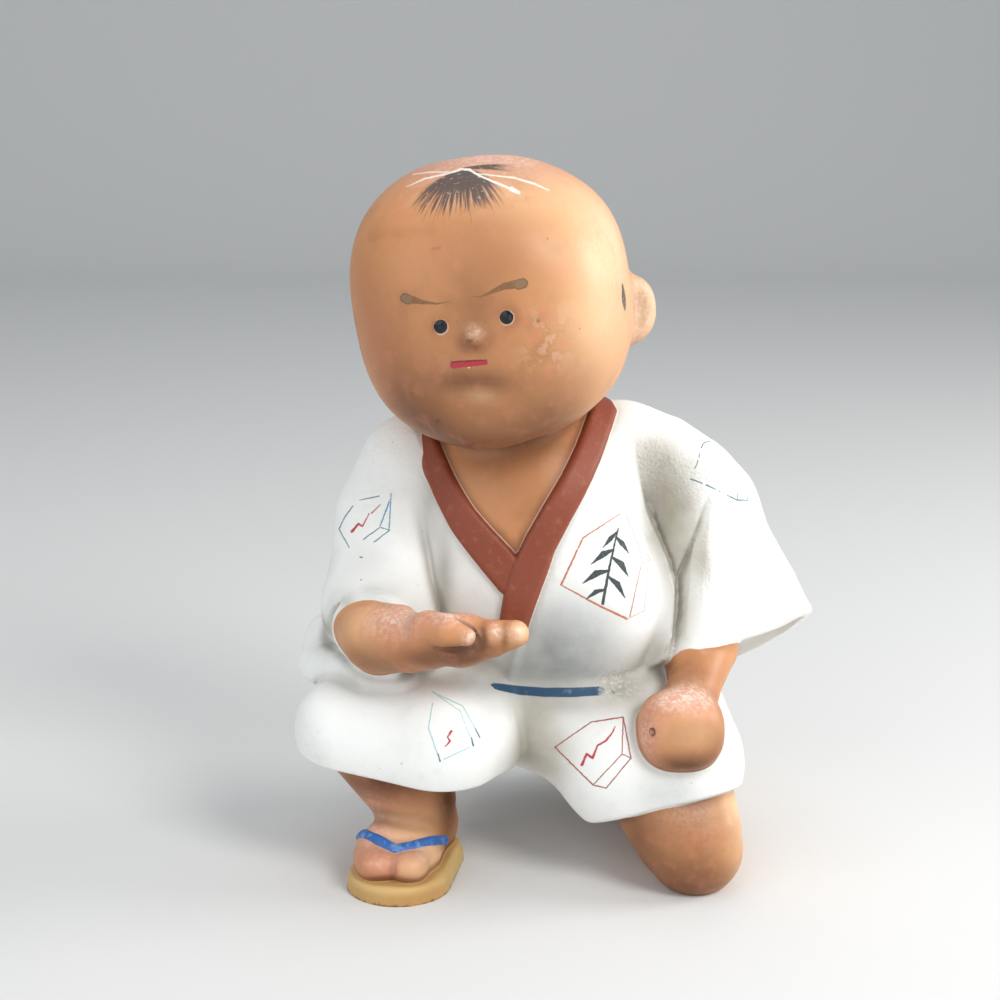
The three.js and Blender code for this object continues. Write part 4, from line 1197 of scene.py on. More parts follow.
# What is sprayed and worn, and the painted shade and highlights, by the attribute that carries it.
SPOTS: dict[str, tuple[Spot, ...]] = {
    # Airbrushed shade on the skin, and painted shade where shadow falls: under the nose, mouth and chin,
    # under the sleeves and hands, and on the shin.
    "shade": spots(
        (-24, -44, 128, 30, 16, 17, 0.38), (-4, -38, 119, 14, 9, 6, 0.5), (-18, -42, 161, 18, 12, 13, 0.34),
        (-20, -46, 149, 7, 8, 9, 0.42), (-40, -35, 137, 10, 10, 14, 0.34), (-42, -28, 150, 8, 12, 14, 0.25),
        (-33, -34, 121.5, 12, 11, 9, 0.9), (-20, -46, 140, 3.4, 4, 1.8, 0.55),
        (-20, -45, 131, 11, 6, 2.8, 0.8), (-2, -42, 124, 8, 9, 6.5, 0.45), (-19, -38, 115, 24, 16, 6, 0.8),
        (4, -40, 131, 8, 8, 9, 0.4), (-10, -22, 100, 14, 9, 10, 0.4), (-10, -20, 112, 20, 9, 6, 0.6),
        (-25, -50, 64.5, 17, 5, 4.2, 1.0), (-24, -51, 67.4, 6, 3, 1.2, 0.9), (-20, -51, 68, 4, 3, 2.2, 0.85),
        (-17.6, -50, 70.5, 1.1, 4, 3, 0.7), (-12.6, -50, 69.5, 0.9, 4, 2.6, 0.6),
        (-50, -34, 59, 9, 9, 6, 0.45), (-42, -38, 59.5, 12, 9, 4, 0.6), (32, -46, 36.2, 12, 9, 5, 0.9),
        (40, -44, 40, 4, 6, 7, 0.5), (25, -30, 55, 4, 6, 6, 0.6), (33, -43, 4, 18, 12, 8, 0.85),
        (20, -40, 14, 6, 9, 13, 0.75), (30, -46, 12, 14, 7, 9, 0.45), (-40, -32, 27, 16, 12, 7, 1.0),
        (-26.5, -25, 18, 3.8, 9, 15, 1.0), (-48, -28, 25, 6, 8, 7, 0.8), (-44.5, -45, 6.4, 6, 3, 2.0, 0.45),
        (-37, -46.0, 6.6, 5, 3, 2.0, 0.45), (-40.4, -44.5, 8.5, 0.8, 4, 3.5, 0.8),
        (22.6, -5, 141.5, 2.2, 4, 5.0, 0.4), (20, -2, 133, 5, 5, 3, 0.5), (30, 10, 10, 14, 30, 10, 0.5),
        (33.6, -30, 55, 10, 9, 6, 0.55), (33, -42, 22, 15, 8, 6, 0.45), (23.2, -43.8, 45, 1.8, 3, 2.2, 0.6),
        (-33, -46, 63, 12, 6, 4, 0.6),
    ),
    # Painted highlights on the skin, on the head's right side, the ear, chin, knee, hands and foot, partly
    # an airbrushed lighter tone.
    "highlight_and_light_tone": spots(
        (13, -24, 158, 15, 20, 26, 0.75), (2, -26, 174, 20, 16, 10, 0.5), (8, -38, 146, 8, 10, 12, 0.45),
        (-18.5, -45, 127.6, 3.8, 3, 1.7, 0.4), (25, -3, 141, 6, 9, 11, 0.7),
        (33, -46, 45.5, 8, 5, 4.5, 0.35), (-50, -32, 68, 8, 8, 6, 0.35), (-8.5, -49, 71.5, 2.6, 3, 2.4, 0.7),
        (-36, -43, 9.5, 5, 5, 4, 0.6), (-41, -34, 14, 9, 7, 5, 1.0), (-31, -36, 8, 4.5, 7, 5, 0.9),
        (44.5, -32, 18, 4.5, 9, 13, 1.0),
    ),
    # Skin flushed pink.
    "flushed": spots(
        (-18, -14, 181, 24, 18, 6, 0.8), (-46, -33, 13, 6, 9, 9, 0.7), (-44, -41, 9, 7, 7, 5, 0.7),
        (-36, -40, 12, 8, 6, 5, 0.5), (-38, -40, 71, 9, 8, 5, 0.6), (-25, -47, 75, 9, 5, 2.4, 0.6),
        (30, -41, 52, 11, 7, 4, 0.7), (22.5, -42, 44, 3.6, 5, 8, 0.8), (-42, -33, 140, 8, 9, 12, 0.25),
    ),
    # Skin rubbed pale and pink, and cloth scuffed white; on the ear, the head's right side and the foot
    # partly a painted sheen.
    "rubbed_and_sheen": spots(
        (-18, -12, 182, 20, 16, 5.0, 0.95), (-39, -38, 73, 9, 7, 4, 0.9), (-25, -47, 75.5, 8, 5, 1.8, 0.95),
        (-20.8, -50.5, 71, 1.6, 3, 2.6, 0.9), (-14.6, -49, 72, 1.6, 3, 1.8, 0.9),
        (-9.6, -49, 72, 1.8, 3, 1.8, 0.9), (31.5, -40, 52.4, 10, 6, 2.6, 1.0),
        (31.5, -40, 52.0, 9, 5, 1.6, 1.0), (22.0, -42, 44, 3.0, 5, 7, 0.4), (-47, -31, 15, 5.5, 7, 6, 0.6),
        (-40, -38, 13.0, 10, 6, 3.4, 0.25), (-45, -44.5, 10, 4, 2.5, 1.6, 0.3),
        (-33, -40, 10.5, 2, 2.5, 1.6, 0.6), (32, -44, 25, 9, 5, 4, 0.3),
        (-19.6, -48, 143.4, 2.6, 3, 1.8, 0.9), (22, -3, 142, 8, 8, 10, 0.6), (12, -22, 160, 9, 16, 18, 0.4),
        (16.5, -25, 50.6, 5.4, 5, 3.4, 0.9),
    ),
    # Skin whose paint is flaked and blotched.
    "flaked": spots(
        (-3, -43.5, 139, 4.6, 7, 6, 0.6), (-2, -43, 143, 8, 8, 7, 0.35), (-27, -44, 137, 4, 4, 5, 0.15),
        (-22, -30, 176, 20, 12, 6, 0.5), (-40, -37, 71, 9, 7, 4, 0.8), (31.5, -40, 52.3, 9, 5, 3, 0.9),
        (36, -42, 18, 6, 6, 5, 0.3),
    ),
    # Painted warm grey shade on the cloth, in the folds, under the arms and round the sleeve's mouth, with
    # some stains.
    "shade_and_stain": spots(
        (26, -9, 104, 6, 7, 7, 0.9), (27.5, -9.5, 97, 6, 7, 8, 0.6), (30, -10, 90, 6.5, 7, 13, 1.0),
        (32, -13, 81, 4.2, 7, 9, 0.9), (37.6, -14.5, 81, 3, 6, 9, 0.8), (32.2, -19, 69, 2, 6, 12, 0.8),
        (35, -19, 68, 2.6, 5, 9, 0.3), (-52.5, -25.5, 72, 3, 4, 2.2, 0.5), (-47, -27, 76.2, 4, 4, 1.8, 0.5),
        (-40, -28.5, 76.2, 5, 4, 1.8, 0.5), (-31, -17, 96, 3.4, 6, 12, 0.6),
        (-27.5, -20, 76, 2.6, 6, 14, 0.8), (-60, -14, 60.5, 4.5, 7, 3.4, 1.0),
        (-47, -25, 51, 12, 6, 2.6, 0.5), (-20, -27, 58, 9, 7, 7, 0.5), (-5.5, -31, 39, 5, 8, 12, 0.9),
        (-5, -32, 32.5, 7, 8, 7, 1.0), (0, -33, 38, 6, 8, 8, 0.4), (16, -24, 47, 10, 8, 4.5, 0.85),
        (2, -30, 46.5, 15, 7, 2.4, 0.4), (27, -24, 56, 4, 6, 6, 0.8), (-14, -44, 47, 6, 8, 5, 0.3),
        (22, -36, 40, 4, 8, 8, 0.4),
    ),
    # Painted cool grey shade on the cloth, low on the trunk.
    "greyed": spots(
        (0, -31, 54.0, 22, 9, 7.5, 1.0), (2, -32, 65, 16, 9, 11, 0.85), (27, -42, 28, 8, 8, 5, 0.4),
        (42, -6, 104, 10, 8, 6, 0.3), (-2, 30, 20, 30, 12, 8, 0.5),
    ),
    # Cloth whose ground is stippled.
    "stippled": spots(
        (26, -9, 104, 9, 6, 5.5, 1.0), (35, -9, 98, 6, 6, 5, 0.8), (39.5, -15, 73, 2.8, 7, 18, 1.0),
        (-48, 0, 104, 16, 14, 12, 0.4), (40, 3, 110, 16, 12, 9, 0.4), (18, -23, 50, 7, 6, 5, 0.9),
        (0, 22, 85, 26, 12, 30, 0.35),
    ),
}


@dataclass
class Paintwork:
    """Works out, for each place of the surface, what paint, wear, painted light and shade it carries."""

    doll: Doll
    painter: Painter = field(default_factory=Painter)
    tie: Triple = (-22.5, -21.5, 178.2)
    crown_radius: float = 36.0
    belt_half: float = 1.2
    belt_height: float = 52.2
    # The belt is a stroke in front of the first y and a level line behind the second, between the least and
    # the most x, with nothing under the arms between them.
    belt_front: float = -12.0
    belt_back: float = -4.0
    belt_sides: tuple[float, float] = (-40.0, 34.0)
    # What is added to the belt's distance under the arms, and on bare skin.
    off_arms: float = 9.0
    off_skin: float = 6.0
    # How far off the surface its crevices are found by, for their painted shade, and how strongly.
    crevice_reach: float = 2.5
    crevice_gain: float = 1.5
    # How far inside the lower band's edge its crossing with the upper one is lined with a painted shadow.
    crossing_depth: float = 0.3
    # What tells the zones apart: how near skin and cloth the trim takes over, how far off the head counts as
    # the head, how far the hair goes round the knot, the lock's least and most y and z, and how squarely a
    # marked place faces the painter.
    seam_reach: float = 0.8
    head_reach: float = 0.3
    hair_reach: float = 27.0
    lock_y: tuple[float, float] = (-30.0, -6.0)
    lock_z: tuple[float, float] = (138.0, 158.0)
    least_facing: float = 0.05
    # The belt in front, on the drawing plane.
    belt_stroke: Sequence[Stop] = (
        (-3.2, -47.2, 0, 0.05), (-0.8, -48.3, 0, 0.85), (5.2, -49.3, 0, 1.15), (11.7, -49.8, 0, 1.2),
        (19.4, -49.8, 0, 1.2), (29.5, -49.2, 0, 1.1),
    )

    def crown(self, p: Array) -> Array:
        """Places on the head unrolled round the knot of the hair, in millimetres.

        The distance from the knot is the crown's radius times the angle at the head's middle, and the
        direction is kept. The first number runs to the doll's left, the second towards its back.

        Args:
            p: Rows of places.

        Returns:
            The unrolled places, as rows of three with a last 0.
        """
        middle = np.array(self.doll.head.middle)
        axis = np.array(self.tie) - middle
        axis /= np.linalg.norm(axis)
        turned = turning(self.doll.head.turn)
        side = turned[:, 0] - (turned[:, 0] @ axis) * axis
        side /= np.linalg.norm(side)
        back = np.cross(axis, side)
        ray = (p - middle) / np.linalg.norm(p - middle, axis=1)[:, None]
        x, y = ray @ side, ray @ back
        flat = np.maximum(np.hypot(x, y), TINY)
        reach = self.crown_radius * np.arctan2(flat, ray @ axis) / flat
        return np.stack([x * reach, y * reach, np.zeros(len(p))], -1)

    def belt(self, p: Array, drawing: Array) -> Array:
        """The distance to the belt's edge, negative on the belt.

        In front it is the distance to the brush stroke on the drawing plane, and behind the arms the height
        off a level line less half the belt's width.

        Args:
            p: The surface's places.
            drawing: The same places on the drawing plane.

        Returns:
            The distance at each place in millimetres.
        """
        right, left = self.belt_sides
        hidden = (p[:, 1] < self.belt_back) | (p[:, 0] > left) | (p[:, 0] < right)
        behind = np.abs(p[:, 2] - self.belt_height) - self.belt_half + self.off_arms * hidden
        return np.where(p[:, 1] < self.belt_front, Limb(self.belt_stroke)(drawing), behind)

    def closeness(self, p: Array, normal: Array, reach: float) -> Array:
        """How shut in each place is: the share of the reach that is missing after going out by it."""
        ahead = in_chunks(self.doll.figure, p + normal * reach)
        return np.clip(1 - ahead / reach, 0, 1)

    def fields(self, p: Array, normal: Array) -> dict[str, Array]:
        """All that the finishes and the zones read.

        Args:
            p: The surface's places in millimetres.
            normal: Its outward normals there.

        Returns:
            The attributes by name, each a number or a row of three for each place.
        """
        names = ("cloth", "bare", "collar", "under_band", "over_band", "strap", "sandals", "foot", "head")

        def table(q: Array) -> Array:
            """The distances that the paint needs, side by side."""
            d = self.doll.parts(q)
            return np.stack([d[name] for name in names], -1)

        d = dict(zip(names, in_chunks(table, p).T))
        open_surface = np.minimum(d["cloth"], d["bare"])
        drawing = self.painter.drawing(p)
        return {
            "bare_edge": d["cloth"] - d["bare"],
            "collar_edge": d["collar"] - open_surface,
            "crossing": np.maximum(np.abs(d["over_band"]), d["under_band"] + self.crossing_depth),
            "strap_edge": d["strap"] - np.minimum(d["foot"], d["sandals"]),
            "sandal_edge": d["sandals"] - np.minimum(d["foot"], np.minimum(d["bare"], d["cloth"])),
            "belt_edge": self.belt(p, drawing) + self.off_skin * (d["bare"] < d["cloth"]),
            **{name: sprayed(some, p) for name, some in SPOTS.items()},
            "crevice_shade": np.clip(self.closeness(p, normal, self.crevice_reach) * self.crevice_gain, 0, 1),
            "drawing": drawing,
            "crown": self.crown(p),
            "head_gap": d["head"],
        }

    def zones(self, f: dict[str, Array], p: Array, normal: Array, triangles: Array) -> Array:
        """The zone of each triangle.

        Args:
            f: The attributes.
            p: The surface's places.
            normal: Its normals.
            triangles: Its triangles.

        Returns:
            A zone's number for each triangle.
        """
        facing = self.painter.facing(p, normal)
        trim = np.abs(f["bare_edge"]) < self.seam_reach
        for name, reach in TRIM_REACH.items():
            trim |= f[name] < reach
        skin = f["bare_edge"] > 0
        on_head = f["head_gap"] < self.head_reach
        zone = np.where(skin[triangles].all(1), Zone.SKIN.value, Zone.COAT.value)
        side, up = f["drawing"][:, 0], f["drawing"][:, 1]
        for name, (left, right, low, high) in MARKED.items():
            held = (side > left) & (side < right) & (up > low) & (up < high) & (facing > self.least_facing)
            held &= on_head if name is Zone.FACE else ~skin
            zone[held[triangles].any(1)] = name.value
        (front, back), (bottom, top) = self.lock_y, self.lock_z
        lock = (p[:, 1] > front) & (p[:, 1] < back) & (p[:, 2] > bottom) & (p[:, 2] < top)
        for hair in (np.hypot(f["crown"][:, 0], f["crown"][:, 1]) < self.hair_reach, lock):
            zone[(hair & on_head)[triangles].any(1) & (zone == Zone.SKIN.value)] = Zone.CROWN.value
        mixed = trim[triangles].any(1) | (skin[triangles].any(1) & ~skin[triangles].all(1))
        zone[mixed] = Zone.TRIM.value
        return zone


# The finishes.


def colour(red: int, green: int, blue: int) -> tuple[float, float, float, float]:
    """A paint's colour, each part from 0 to 255, as the linear colour that a shader takes.

    Args:
        red: Its red.
        green: Its green.
        blue: Its blue.

    Returns:
        The linear colour, not see-through.
    """
    shares = [value / 255 for value in (red, green, blue)]
    linear = [s / 12.92 if s <= 0.04045 else ((s + 0.055) / 1.055) ** 2.4 for s in shares]
    return (*linear, 1.0)


@dataclass(frozen=True)
class Paint:
    """A paint: its colour, each part from 0 to 255, and how rough it dries."""

    red: int
    green: int
    blue: int
    roughness: float = 0.8

    def linear(self) -> tuple[float, float, float, float]:
        """The colour that a shader takes."""
        return colour(self.red, self.green, self.blue)


@dataclass(frozen=True)
class Palette:
    """All the doll's paints."""

    skin: Paint = Paint(209, 146, 97, 0.42)
    skin_deep: Paint = Paint(84, 44, 21, 0.46)
    skin_highlight_tone: Paint = Paint(249, 212, 166, 0.42)
    skin_pale: Paint = Paint(247, 228, 212, 0.6)
    skin_rose: Paint = Paint(214, 134, 110, 0.5)
    skin_rim: Paint = Paint(206, 168, 140, 0.5)
    skin_dirt_and_shade: Paint = Paint(88, 58, 40, 0.7)
    coat: Paint = Paint(243, 244, 241, 0.8)
    coat_warm: Paint = Paint(132, 121, 94, 0.85)
    coat_grey: Paint = Paint(96, 102, 102, 0.85)
    coat_dirt_and_shade: Paint = Paint(128, 116, 98, 0.9)
    collar: Paint = Paint(138, 69, 47, 0.5)
    collar_worn: Paint = Paint(176, 112, 92, 0.6)
    edge_line: Paint = Paint(236, 214, 200, 0.7)
    belt: Paint = Paint(42, 76, 104, 0.6)
    belt_worn: Paint = Paint(150, 166, 182, 0.8)
    strap: Paint = Paint(52, 104, 176, 0.45)
    strap_worn: Paint = Paint(128, 166, 206, 0.55)
    sandal: Paint = Paint(214, 182, 122, 0.55)
    sandal_deep: Paint = Paint(176, 122, 62, 0.55)
    ink: Paint = Paint(46, 58, 62, 0.55)
    eye: Paint = Paint(18, 20, 26, 0.12)
    eye_worn: Paint = Paint(96, 102, 118, 0.2)
    brow: Paint = Paint(136, 106, 80, 0.6)
    brow_line: Paint = Paint(104, 82, 60, 0.6)
    brow_thin: Paint = Paint(130, 92, 60, 0.55)
    lip: Paint = Paint(170, 50, 60, 0.4)
    lip_line: Paint = Paint(120, 28, 36, 0.45)
    hair: Paint = Paint(72, 66, 66, 0.55)
    hair_back: Paint = Paint(78, 64, 56, 0.6)
    cord: Paint = Paint(246, 236, 224, 0.55)
    outline_brown: Paint = Paint(182, 108, 76, 0.7)
    outline_faint: Paint = Paint(206, 178, 168, 0.75)
    outline_blue: Paint = Paint(84, 142, 176, 0.7)
    outline_grey: Paint = Paint(112, 132, 152, 0.7)
    outline_pale: Paint = Paint(164, 202, 208, 0.75)
    outline_teal: Paint = Paint(70, 118, 134, 0.7)
    outline_red: Paint = Paint(158, 84, 76, 0.7)
    mark_red: Paint = Paint(186, 62, 74, 0.6)


PALETTE = Palette()
Socket = bpy.types.NodeSocket
Value = float | Socket


class Graph:
    """A material's nodes, made one by one and joined as they are made."""

    def __init__(self, name: str) -> None:
        """Starts an empty material.

        Args:
            name: The material's name.
        """
        self.material = bpy.data.materials.new(name)
        self.material.use_nodes = True
        self.tree = self.material.node_tree
        self.tree.nodes.clear()

    def node(self, kind: str, inputs: dict[int, object], **settings: object) -> bpy.types.Node:
        """A node with its settings, and its inputs by number: a socket is linked, all else is a value.

        Args:
            kind: The node's type.
            inputs: What goes in, by the input's number.
            settings: The node's own settings, by name.

        Returns:
            The node.
        """
        made = self.tree.nodes.new(kind)
        for name, value in settings.items():
            setattr(made, name, value)
        for number, value in inputs.items():
            if isinstance(value, bpy.types.NodeSocket):
                self.tree.links.new(value, made.inputs[number])
            else:
                made.inputs[number].default_value = value
        return made

    def number(self, name: str) -> Socket:
        """An attribute of the surface, as a number."""
        return self.node("ShaderNodeAttribute", {}, attribute_name=name).outputs["Fac"]

    def triple(self, name: str) -> Socket:
        """An attribute of the surface, as three numbers."""
        return self.node("ShaderNodeAttribute", {}, attribute_name=name).outputs["Vector"]

    def place(self) -> Socket:
        """The place on the object."""
        return self.node("ShaderNodeTexCoord", {}).outputs["Object"]

    def math(self, operation: str, a: Value, b: Value = 0.0, c: Value = 0.0, clamp: bool = False) -> Socket:
        """One step of arithmetic."""
        made = self.node("ShaderNodeMath", {0: a, 1: b, 2: c}, operation=operation, use_clamp=clamp)
        return made.outputs[0]

    def vector(self, operation: str, a: object, b: object = (0, 0, 0), c: object = (0, 0, 0)) -> Socket:
        """One step of arithmetic with vectors, which gives a number where the operation does."""
        made = self.node("ShaderNodeVectorMath", {0: a, 1: b, 2: c}, operation=operation)
        return made.outputs["Value" if operation in ("DOT_PRODUCT", "LENGTH", "DISTANCE") else "Vector"]

    def noise(self, where: Socket, size: float, detail: float = 2.0, rough: float = 0.5) -> Socket:
        """Noise whose lumps are about the given size in millimetres."""
        inputs = {0: where, 2: 1 / (size * MILLIMETRE), 3: detail, 4: rough}
        return self.node("ShaderNodeTexNoise", inputs).outputs[0]

    def rise(self, value: Value, low: float, high: float) -> Socket:
        """A smooth rise from 0 at the low value to 1 at the high one, or a fall if low is the greater.

        Args:
            value: What rises.
            low: Where the result is 0.
            high: Where it is 1.

        Returns:
            The result, from 0 to 1.
        """
        ends = {3: 0.0, 4: 1.0} if low < high else {3: 1.0, 4: 0.0}
        inputs = {0: value, 1: min(low, high), 2: max(low, high), **ends}
        return self.node("ShaderNodeMapRange", inputs, interpolation_type="SMOOTHSTEP").outputs[0]

    def blend(self, share: Value, first: object, second: object) -> Socket:
        """A colour mixed from two by a share."""
        return self.node("ShaderNodeMix", {0: share, 6: first, 7: second}, data_type="RGBA").outputs[2]

    def between(self, share: Value, first: Value, second: Value) -> Socket:
        """A number mixed from two by a share: first + share * (second - first)."""
        return self.math("MULTIPLY_ADD", share, self.math("SUBTRACT", second, first), first)


@dataclass(frozen=True)
class Brushwork:
    """Strokes of one paint on the drawing plane, in mm: for each its points and half its widths there.

    A stroke's last half width also holds for the points that have none of their own. The strokes' edges are
    soft, and a dry brush leaves open a share of them.
    """

    paint: Paint
    strokes: Sequence[tuple[Sequence[Pair], Sequence[float]]]
    dry: float
    soft: float = 0.1

    def stretches(self) -> list[tuple[Pair, Pair, float, float]]:
        """All straight stretches, each with its two ends and half widths.

        Returns:
            The stretches, one stroke after the other.
        """
        found = []
        for points, half in self.strokes:
            widths = [half[min(i, len(half) - 1)] for i in range(len(points))]
            found += zip(points, points[1:], widths, widths[1:])
        return found


class Coating(Graph):
    """A finish built up in coats. Each covers a share of what is there with its colour and its roughness."""

    # In metres on the piece: the y and z over which the right sandal's edge darkens, the x up to which the
    # belt is whole, and the y behind which it is.
    sole_front: tuple[float, float] = (-0.03, -0.042)
    sole_low: tuple[float, float] = (0.0046, 0.002)
    belt_whole: tuple[float, float] = (0.0145, 0.0125)
    belt_behind: tuple[float, float] = (-0.008, 0.0)
    # How far the brush shakes, in millimetres, and how fine the shaking is, in lumps a metre.
    shake: float = 0.3
    shake_scale: float = 900.0
    specular: float = 0.4

    def __init__(self, name: str) -> None:
        """Starts with the coat's white.

        Args:
            name: The material's name.
        """
        super().__init__(name)
        self.where = self.place()
        self.ground(PALETTE.coat)
        self.height: Value = 0.0
        self.grain = self.noise(self.where, 1.1, 3, 0.6)
        self.cloud = self.noise(self.where, 14, 3, 0.55)
        self.patch = self.noise(self.where, 4.5, 3, 0.6)

    def ground(self, paint: Paint) -> None:
        """Starts again from one paint all over."""
        self.shade: object = paint.linear()
        self.rough: Value = paint.roughness

    def times(self, *shares: Value) -> Value:
        """Shares multiplied.

        Args:
            shares: Sockets or numbers.

        Returns:
            Their product.
        """
        product = shares[0]
        for share in shares[1:]:
            product = self.math("MULTIPLY", product, share)
        return product

    def coat(self, paint: Paint, *shares: Value) -> None:
        """Lays a paint over the product of the shares of what is there.

        Args:
            paint: The paint.
            shares: What it covers, each from 0 to 1.
        """
        share = self.times(*shares)
        self.shade = self.blend(share, self.shade, paint.linear())
        self.rough = self.between(share, self.rough, paint.roughness)

    def raise_by(self, *factors: Value) -> None:
        """Adds the product of the factors, in millimetres, to the relief."""
        self.height = self.math("ADD", self.height, self.times(*factors))

    def roughen(self, span: float) -> None:
        """Varies the roughness with the grain, over a span with its middle on what is there."""
        self.rough = self.math("MULTIPLY_ADD", self.grain, span, self.math("ADD", self.rough, -span / 2))

    def skin(self) -> None:
        """The painted skin: airbrushed and painted shade, painted highlights, rubbed places partly a painted
        sheen, flaked places, specks, painted shade in crevices and an orange-peel grain.
        """
        self.ground(PALETTE.skin)
        flaked, rubbed_and_sheen = self.number("flaked"), self.number("rubbed_and_sheen")
        uneven = self.math("MULTIPLY_ADD", self.cloud, 0.8, 0.6)
        # Airbrushed shade, and painted shade where shadow falls.
        self.coat(PALETTE.skin_deep, self.number("shade"), uneven, 0.9)
        self.coat(PALETTE.skin_rose, self.rise(self.patch, 0.48, 0.72), 0.22)
        self.coat(PALETTE.skin_deep, self.rise(self.cloud, 0.5, 0.3), 0.22)
        # Painted highlights, partly an airbrushed lighter tone.
        self.coat(PALETTE.skin_highlight_tone, self.number("highlight_and_light_tone"), uneven, 0.8)
        self.coat(PALETTE.skin_rose, self.number("flushed"), uneven, 0.8)
        # A flake is pale in its middle, deep along its rim and rosy beside it.
        blotch = self.noise(self.where, 5.2, 4, 0.6)
        self.coat(PALETTE.skin_pale, self.rise(blotch, 0.5, 0.57), flaked, 0.24)
        self.coat(PALETTE.skin_rose, self.rise(blotch, 0.44, 0.38), flaked, 0.6)
        rim = self.times(self.rise(blotch, 0.47, 0.5), self.rise(blotch, 0.535, 0.51))
        self.coat(PALETTE.skin_deep, rim, flaked, 0.14)
        speckle = self.rise(self.grain, 0.44, 0.6)
        # Rubbed pale places, partly a painted sheen.
        self.coat(PALETTE.skin_pale, rubbed_and_sheen, self.math("MULTIPLY_ADD", speckle, 0.5, 0.3))
        self.coat(PALETTE.skin_rose, rubbed_and_sheen, self.rise(self.patch, 0.5, 0.66), 0.4)
        specks = self.noise(self.where, 1.6, 1)
        self.coat(PALETTE.skin_dirt_and_shade, self.rise(specks, 0.79, 0.82), 0.4)
        # Painted shade in the crevices.
        self.coat(PALETTE.skin_deep, self.number("crevice_shade"), 0.55)
        self.roughen(0.16)
        self.raise_by(self.grain, 0.035)
        self.raise_by(self.patch, 0.05)
        self.raise_by(self.rise(blotch, 0.5, 0.56), flaked, -0.07)

    def cloth(self) -> None:
        """The coat's chalky white: painted warm shade and stains in the folds, painted grey shade low down
        and grey clouds, painted shade in crevices, specks of dirt, and in places a stipple.
        """
        self.ground(PALETTE.coat)
        stippled = self.number("stippled")
        stipple = self.noise(self.where, 0.85, 2, 0.55)
        uneven = self.math("MULTIPLY_ADD", self.cloud, 0.9, 0.5)
        # Painted cool grey shade low on the trunk.
        self.coat(PALETTE.coat_grey, self.number("greyed"), uneven, 0.8)
        # Painted warm shade in the folds and under the arms, with stains.
        self.coat(PALETTE.coat_warm, self.number("shade_and_stain"), uneven, 0.8)
        self.coat(PALETTE.coat_grey, self.rise(self.cloud, 0.52, 0.75), 0.07)
        self.coat(PALETTE.coat_warm, self.rise(self.patch, 0.55, 0.8), 0.08)
        self.coat(PALETTE.coat_warm, self.rise(stipple, 0.42, 0.3), stippled, 0.25)
        # Painted shade in the crevices.
        self.coat(PALETTE.coat_dirt_and_shade, self.number("crevice_shade"), 0.5)
        scuff = self.noise(self.where, 1.2, 4, 0.7)
        self.coat(PALETTE.coat, self.number("rubbed_and_sheen"), self.rise(scuff, 0.42, 0.66), 0.7)
        specks = self.noise(self.where, 1.3, 1)
        self.coat(PALETTE.coat_dirt_and_shade, self.rise(specks, 0.79, 0.81), 0.3)
        self.roughen(0.14)
        self.raise_by(self.grain, 0.05)
        strength = self.math("MULTIPLY_ADD", stippled, 0.22, 0.02)
        self.raise_by(self.rise(stipple, 0.3, 0.7), strength)

    def trims(self) -> None:
        """Skin and cloth beside each other, with the sandals, strap, belt and collar painted over."""
        self.cloth()
        cloth = (self.shade, self.rough, self.height)
        self.height = 0.0
        self.skin()
        wander = self.math("MULTIPLY_ADD", self.patch, 0.3, -0.15)
        bare = self.rise(self.math("ADD", self.number("bare_edge"), wander), -0.12, 0.12)
        self.shade = self.blend(bare, cloth[0], self.shade)
        self.rough = self.between(bare, cloth[1], self.rough)
        self.height = self.between(bare, cloth[2], self.height)
        smear = self.noise(self.where, 2.2, 3, 0.6)
        x, y, z = self.node("ShaderNodeSeparateXYZ", {0: self.where}).outputs
        sandal = self.rise(self.number("sandal_edge"), 0.12, -0.12)
        self.coat(PALETTE.sandal, sandal)
        front = self.times(self.rise(y, *self.sole_front), self.rise(z, *self.sole_low), sandal)
        self.coat(PALETTE.sandal_deep, front, 0.55)
        self.coat(PALETTE.sandal_deep, sandal, self.rise(self.cloud, 0.4, 0.7), 0.3)
        # Painted shade in the sandal's crevices.
        self.coat(PALETTE.sandal_deep, sandal, self.number("crevice_shade"), 0.5)
        strap = self.rise(self.number("strap_edge"), 0.1, -0.1)
        self.coat(PALETTE.strap, strap)
        self.coat(PALETTE.strap_worn, strap, self.rise(smear, 0.5, 0.66), 0.6)
        belt = self.rise(self.math("ADD", self.number("belt_edge"), self.times(wander, 0.6)), 0.14, -0.1)
        whole = self.rise(self.math("ADD", x, self.times(smear, 0.006)), *self.belt_whole)
        whole = self.math("MAXIMUM", whole, self.rise(y, *self.belt_behind))
        patches = self.times(self.rise(smear, 0.54, 0.62), 0.6)
        self.coat(PALETTE.belt, belt, self.math("MAXIMUM", whole, patches))
        self.coat(PALETTE.belt_worn, belt, self.rise(smear, 0.6, 0.76), 0.3)
        edge = self.math("ADD", self.number("collar_edge"), self.times(wander, 0.3))
        self.coat(PALETTE.edge_line, self.rise(edge, 0.55, 0.3), self.rise(edge, 0.0, 0.1), 0.4)
        collar = self.rise(edge, 0.12, -0.05)
        self.coat(PALETTE.collar, collar)
        # A painted shadow where the collar's upper band crosses the lower one.
        self.coat(PALETTE.skin_dirt_and_shade, collar, self.rise(self.number("crossing"), 0.4, 0.0), 0.4)
        self.coat(PALETTE.collar_worn, collar, self.rise(smear, 0.52, 0.75), 0.35)
        self.coat(PALETTE.skin_dirt_and_shade, collar, self.rise(self.grain, 0.6, 0.8), 0.25)

